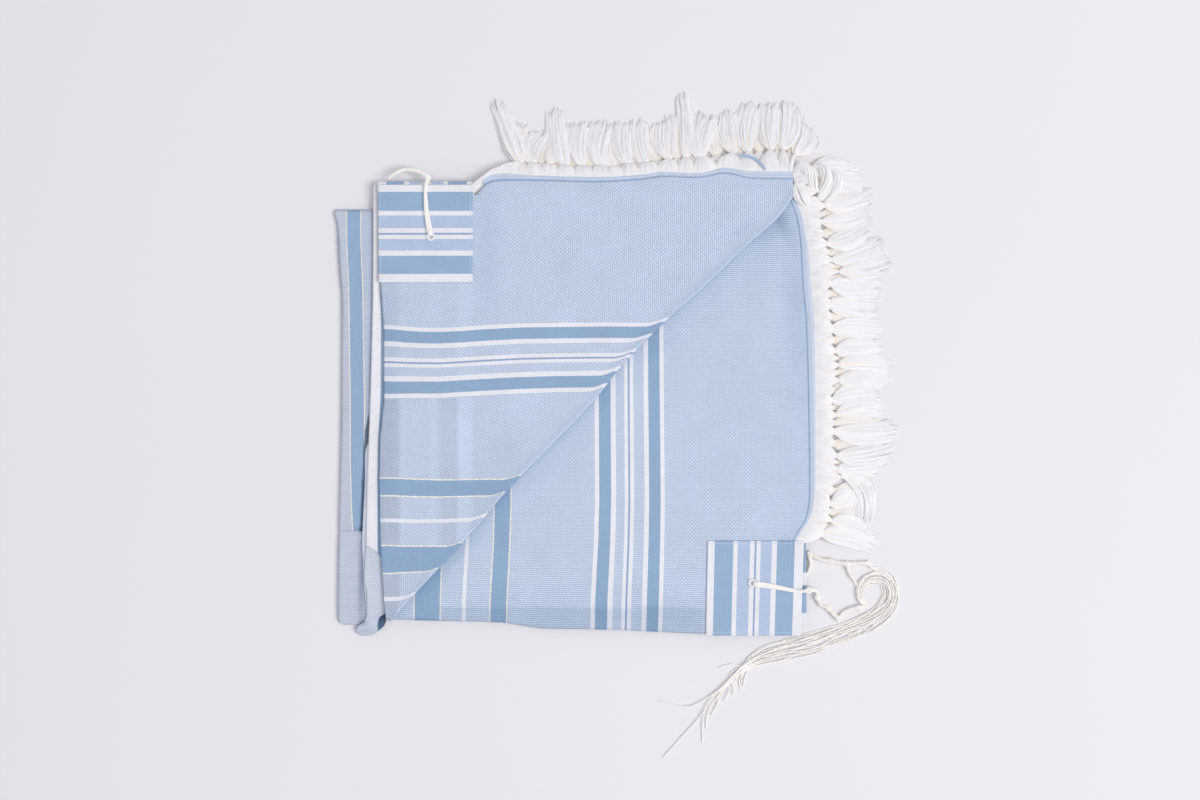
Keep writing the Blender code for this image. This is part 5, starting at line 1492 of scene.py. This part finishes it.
HEAD_FLAP = ((-168, 211, 17.5, 1.5), (-167.6, 216.5, 17.7, 1.8), (-165.8, 222.4, 15.8, 2.7),
             (-171.8, 228, 13.4, 2.1), (-179, 230.4, 12.4, 2.3), (-187.5, 231.6, 11.8, 2.1),
             (-195, 229.6, 12, 2.2), (-201.5, 225.6, 12.6, 1.9), (-205.6, 221.8, 13.2, 1.3))
# Where a tassel's strings run together: x, y, half width
SWEEP_UNDER = ((273, -205, 1.2), (268.2, -198.5, 2.6), (268.6, -187, 3.6), (276, -178.8, 4.2),
               (288, -177, 5), (297.6, -185, 5.6), (299.4, -198, 6.6), (291, -212, 7.6),
               (274, -224, 8), (252, -234.5, 8), (226, -244, 8), (194, -252, 7.4),
               (165, -262, 5.2), (149, -270, 2.6))
SWEEP_LOWER = ((278.6, -167.6, 0.8), (288, -170.6, 2.4), (298.6, -178, 4), (302.6, -192, 4.6),
               (299, -207, 5.6), (286, -219, 6.6), (264, -229, 7.2), (236, -237, 7),
               (206, -242, 6.4), (178, -250, 5.4), (158, -262, 3))
SWEEP_BRANCH = ((261.5, -180.7, 0.6), (266, -185.5, 1.6), (272, -184.6, 2), (283, -182, 2.4),
                (292, -187, 2.6), (293, -199, 3), (284, -211, 3), (266, -220, 3),
                (240, -230, 3), (205, -242, 3), (176, -247, 2.6), (157, -259, 1.6))
# The free end of each string: x, y where it leaves, x, y on its way, x, y, z of its tip
ENDS_UNDER = (
    (123, -292, 95, -308, 66, -303, 1.2),
    (120, -297, 104, -322, 69, -358, 1.2),
    (118, -300, 110, -322, 108, -343, 1.2),
    (124, -298, 115, -316, 113, -330, 1.2),
    (128, -290, 124, -305, 119, -317, 1.4),
    (131, -288, 127, -300, 122, -311, 2.4),
    (135, -284, 137, -290, 133, -302, 3),
    (138, -280, 141, -287, 140, -296, 3.2),
)
ENDS_LOWER = (
    (147, -266.5, 139, -265.5, 126, -269, 1.2),
    (148, -271, 139, -277, 131, -283, 1.2),
    (150, -274, 147, -281, 146, -290, 1.2),
    (153, -275, 152, -282, 150, -288, 1.2),
)
ENDS_BRANCH = (
    (149, -266, 141, -272, 136, -276, 1.2),
    (151, -268, 146, -274, 142, -280, 1.2),
    (153, -270, 150, -277, 147, -284, 1.2),
)
KNOT_FROM = 2.35  # a head's rows with at least this radius are knots
SWEEP_STEPS = 260
END_STEPS = 90
STRING_STEP = 1.25  # millimetres between a string's rings
CORD_STEPS = 110
PLY_TURN = 0.55  # radians of twist for each millimetre of string

tzitzit_string = thread_material("tzitzit_string", IVORY, 0.75)
# A faint glow, which is painted light: it lifts the shade between the strings
set_inputs(tzitzit_string.node_tree.nodes["Principled BSDF"],
           {"Emission Color": (1, 0.98, 0.95, 1), "Emission Strength": 0.07})


def add_string(parts, path, radius, sides=6, ply=0.16):
    """One two-ply string along a path."""
    path = path[None]
    add_tubes(parts, path, radius, sides, twist=distances(path) * PLY_TURN, ply=ply)


def add_head(parts, rows):
    """A core, a string wound closely round it as a helix, and a double knot at each swelling."""
    fine = curve_through(rows, 26 * len(rows))
    far = distances(fine[:, :3])
    add_tubes(parts, fine[None, :, :3], fine[None, :, 3] - WINDING * 1.2, 8)
    at = np.arange(0, far[-1], WINDING_PITCH / 12)
    middle = along_line(fine, far, at)
    middle, around = middle[:, :3], middle[:, 3:] - WINDING
    uneven = np.sin(1.7 * at) * np.sin(0.63 * at + 1) + 0.6 * np.sin(3.9 * at + 2)
    around = around * (1 + 0.13 * uneven[:, None])
    side = sideways(middle)
    along = np.gradient(middle, axis=0)
    up = np.cross(along / np.linalg.norm(along, axis=1, keepdims=True), side)
    turn = (at * 2 * math.pi / WINDING_PITCH + 0.9 * np.sin(0.8 * at))[:, None]
    radial = side * np.cos(turn) + up * np.sin(turn)
    add_tubes(parts, (middle + radial * around)[None], WINDING, 5, side=radial[None])
    for number, (*centre, radius) in enumerate(rows):
        if radius >= KNOT_FROM:
            for half_turn in (0, 1.1):
                size = radius * 0.78
                t, loop = trefoil(48, size * 1.25, size * 0.55, number + half_turn)
                loop = loop + centre + (0, 0, 0.5 * half_turn)
                add_tubes(parts, loop, 0.72, 6, twist=t * 6, ply=0.12)


def add_loose_strings(parts, sweep, ends, height, seed):
    """Strings that run together along a sweep, change places now and then, and part at its end."""
    chance = np.random.default_rng(seed)
    middle = curve_through(sweep, SWEEP_STEPS)
    half = middle[:, 2].copy()
    middle[:, 2] = height
    side = sideways(middle)
    t = np.linspace(0, 1, SWEEP_STEPS)
    for k, (bend_x, bend_y, via_x, via_y, *tip) in enumerate(ends):
        share = 1 - 2 * k / (len(ends) - 1)
        turns, phase = chance.uniform(1.2, 3), chance.uniform(0, 2 * math.pi)
        swap = 0.30 * np.sin(2 * math.pi * turns * t + phase) * ease(t * 5) * ease((1 - t) * 5)
        lift = 0.75 * np.sin(2 * math.pi * turns * 1.3 * t + 2.1 * k)
        run = middle - side * (half * np.clip(share + swap, -1.15, 1.15))[:, None]
        run[:, 2] = np.maximum(height + lift, STRING + 0.1)
        free = [run[-1], (bend_x, bend_y, height), (via_x, via_y, (height + tip[2]) / 2), tip]
        free = curve_through(free, END_STEPS)[1:]
        curl = np.linspace(0, 1, len(free))[:, None]
        free = free + sideways(free) * 1.1 * np.sin(curl * (6 + 2 * math.sin(k))) * curl
        free[:, 2] = np.maximum(free[:, 2], STRING + 0.1)
        path = np.vstack([run, free])
        reach = distances(path)
        at = np.linspace(0, reach[-1], int(reach[-1] / STRING_STEP))
        add_string(parts, along_line(path, reach, at), STRING)


def add_doubled_cord(parts, rows, surface, head):
    """The strings that lie side by side over a patch, spread out at the eyelet and drawn together
    towards the head."""
    path = np.array(rows)
    path[:, 2] += surface(path[:, 0], path[:, 1])
    path = curve_through(np.vstack([path, np.array(head)[:2, :3]]), CORD_STEPS)
    spread = np.interp(np.linspace(0, 1, CORD_STEPS), (0, 0.12, 0.3, 0.7, 1), (0.5, 1, 0.95, 0.62, 0.4))
    side = sideways(path) * spread[:, None]
    for apart, lift in CORD_STRINGS:
        add_string(parts, path + side * apart + (0, 0, lift), CORD_RADIUS, 7, 0.07)


parts = []
add_doubled_cord(parts, CORD_UNDER, patch_under_z, HEAD_UNDER)
add_head(parts, HEAD_UNDER)
add_loose_strings(parts, SWEEP_UNDER, ENDS_UNDER, UPPER_STRINGS, 21)
joined("tzitzit_upper", parts, tzitzit_string, ["tzitzit_under"])
parts = []
add_head(parts, HEAD_LOWER)
add_head(parts, HEAD_BRANCH)
add_loose_strings(parts, SWEEP_LOWER, ENDS_LOWER, LOWER_STRINGS, 22)
add_loose_strings(parts, SWEEP_BRANCH, ENDS_BRANCH, LOWER_STRINGS + 0.13, 23)
joined("tzitzit_beneath", parts, tzitzit_string, ["tzitzit_lower"])
parts = []
add_doubled_cord(parts, CORD_FLAP, patch_flap_z, HEAD_FLAP)
add_head(parts, HEAD_FLAP)
joined("tzitzit_turned", parts, tzitzit_string, ["tzitzit_flap"])


# ------------------------------
# Floor, light and camera. A plain pale surface under a broad soft light from the upper right, seen
# from straight above.
# ------------------------------
FLOOR_COLOUR = (0.786, 0.774, 0.795)
FLOOR_HALF = 4
CAMERA_PLACE = (0.006, 0.001, 1.679)
WORLD_COLOUR = (0.93, 0.94, 1)


def pale_floor():
    """One large square with a faint, slow change of tone."""
    mesh = bpy.data.meshes.new("floor")
    corners = [(x * FLOOR_HALF, y * FLOOR_HALF, 0) for x, y in ((-1, -1), (1, -1), (1, 1), (-1, 1))]
    mesh.from_pydata(corners, [], [(0, 1, 2, 3)])
    material, tree, shader = new_material("pale_floor", 0.9)
    set_inputs(shader, {"Base Color": scaled(FLOOR_COLOUR, cloudy(tree, 0.5, 0.03))})
    mesh.materials.append(material)
    floor = bpy.data.objects.new("floor", mesh)
    bpy.context.scene.collection.objects.link(floor)


def soft_light(name, place, size, power, colour):
    """A square area light that faces the middle of the shawl."""
    lamp = bpy.data.lights.new(name, "AREA")
    lamp.size = size
    lamp.energy = power
    lamp.color = colour
    light = bpy.data.objects.new(name, lamp)
    light.location = place
    light.rotation_euler = (-light.location).to_track_quat("-Z", "Y").to_euler()
    bpy.context.scene.collection.objects.link(light)


pale_floor()
soft_light("key", (4.1, -1, 5.2), 2.95, 221, (1, 0.985, 0.97))
soft_light("fill", (0.3, -0.1, 3), 2.2, 15.6, (0.95, 0.965, 1))
world = bpy.data.worlds.new("studio")
world.use_nodes = True
set_inputs(world.node_tree.nodes["Background"], {"Color": (*WORLD_COLOUR, 1), "Strength": 0.575})
bpy.context.scene.world = world
bpy.context.scene.view_settings.view_transform = "Standard"
lens = bpy.data.cameras.new("camera")
lens.lens = 50
lens.sensor_width = 36
lens.clip_start = 0.05
camera = bpy.data.objects.new("camera", lens)
camera.location = CAMERA_PLACE
bpy.context.scene.collection.objects.link(camera)
bpy.context.scene.camera = camera
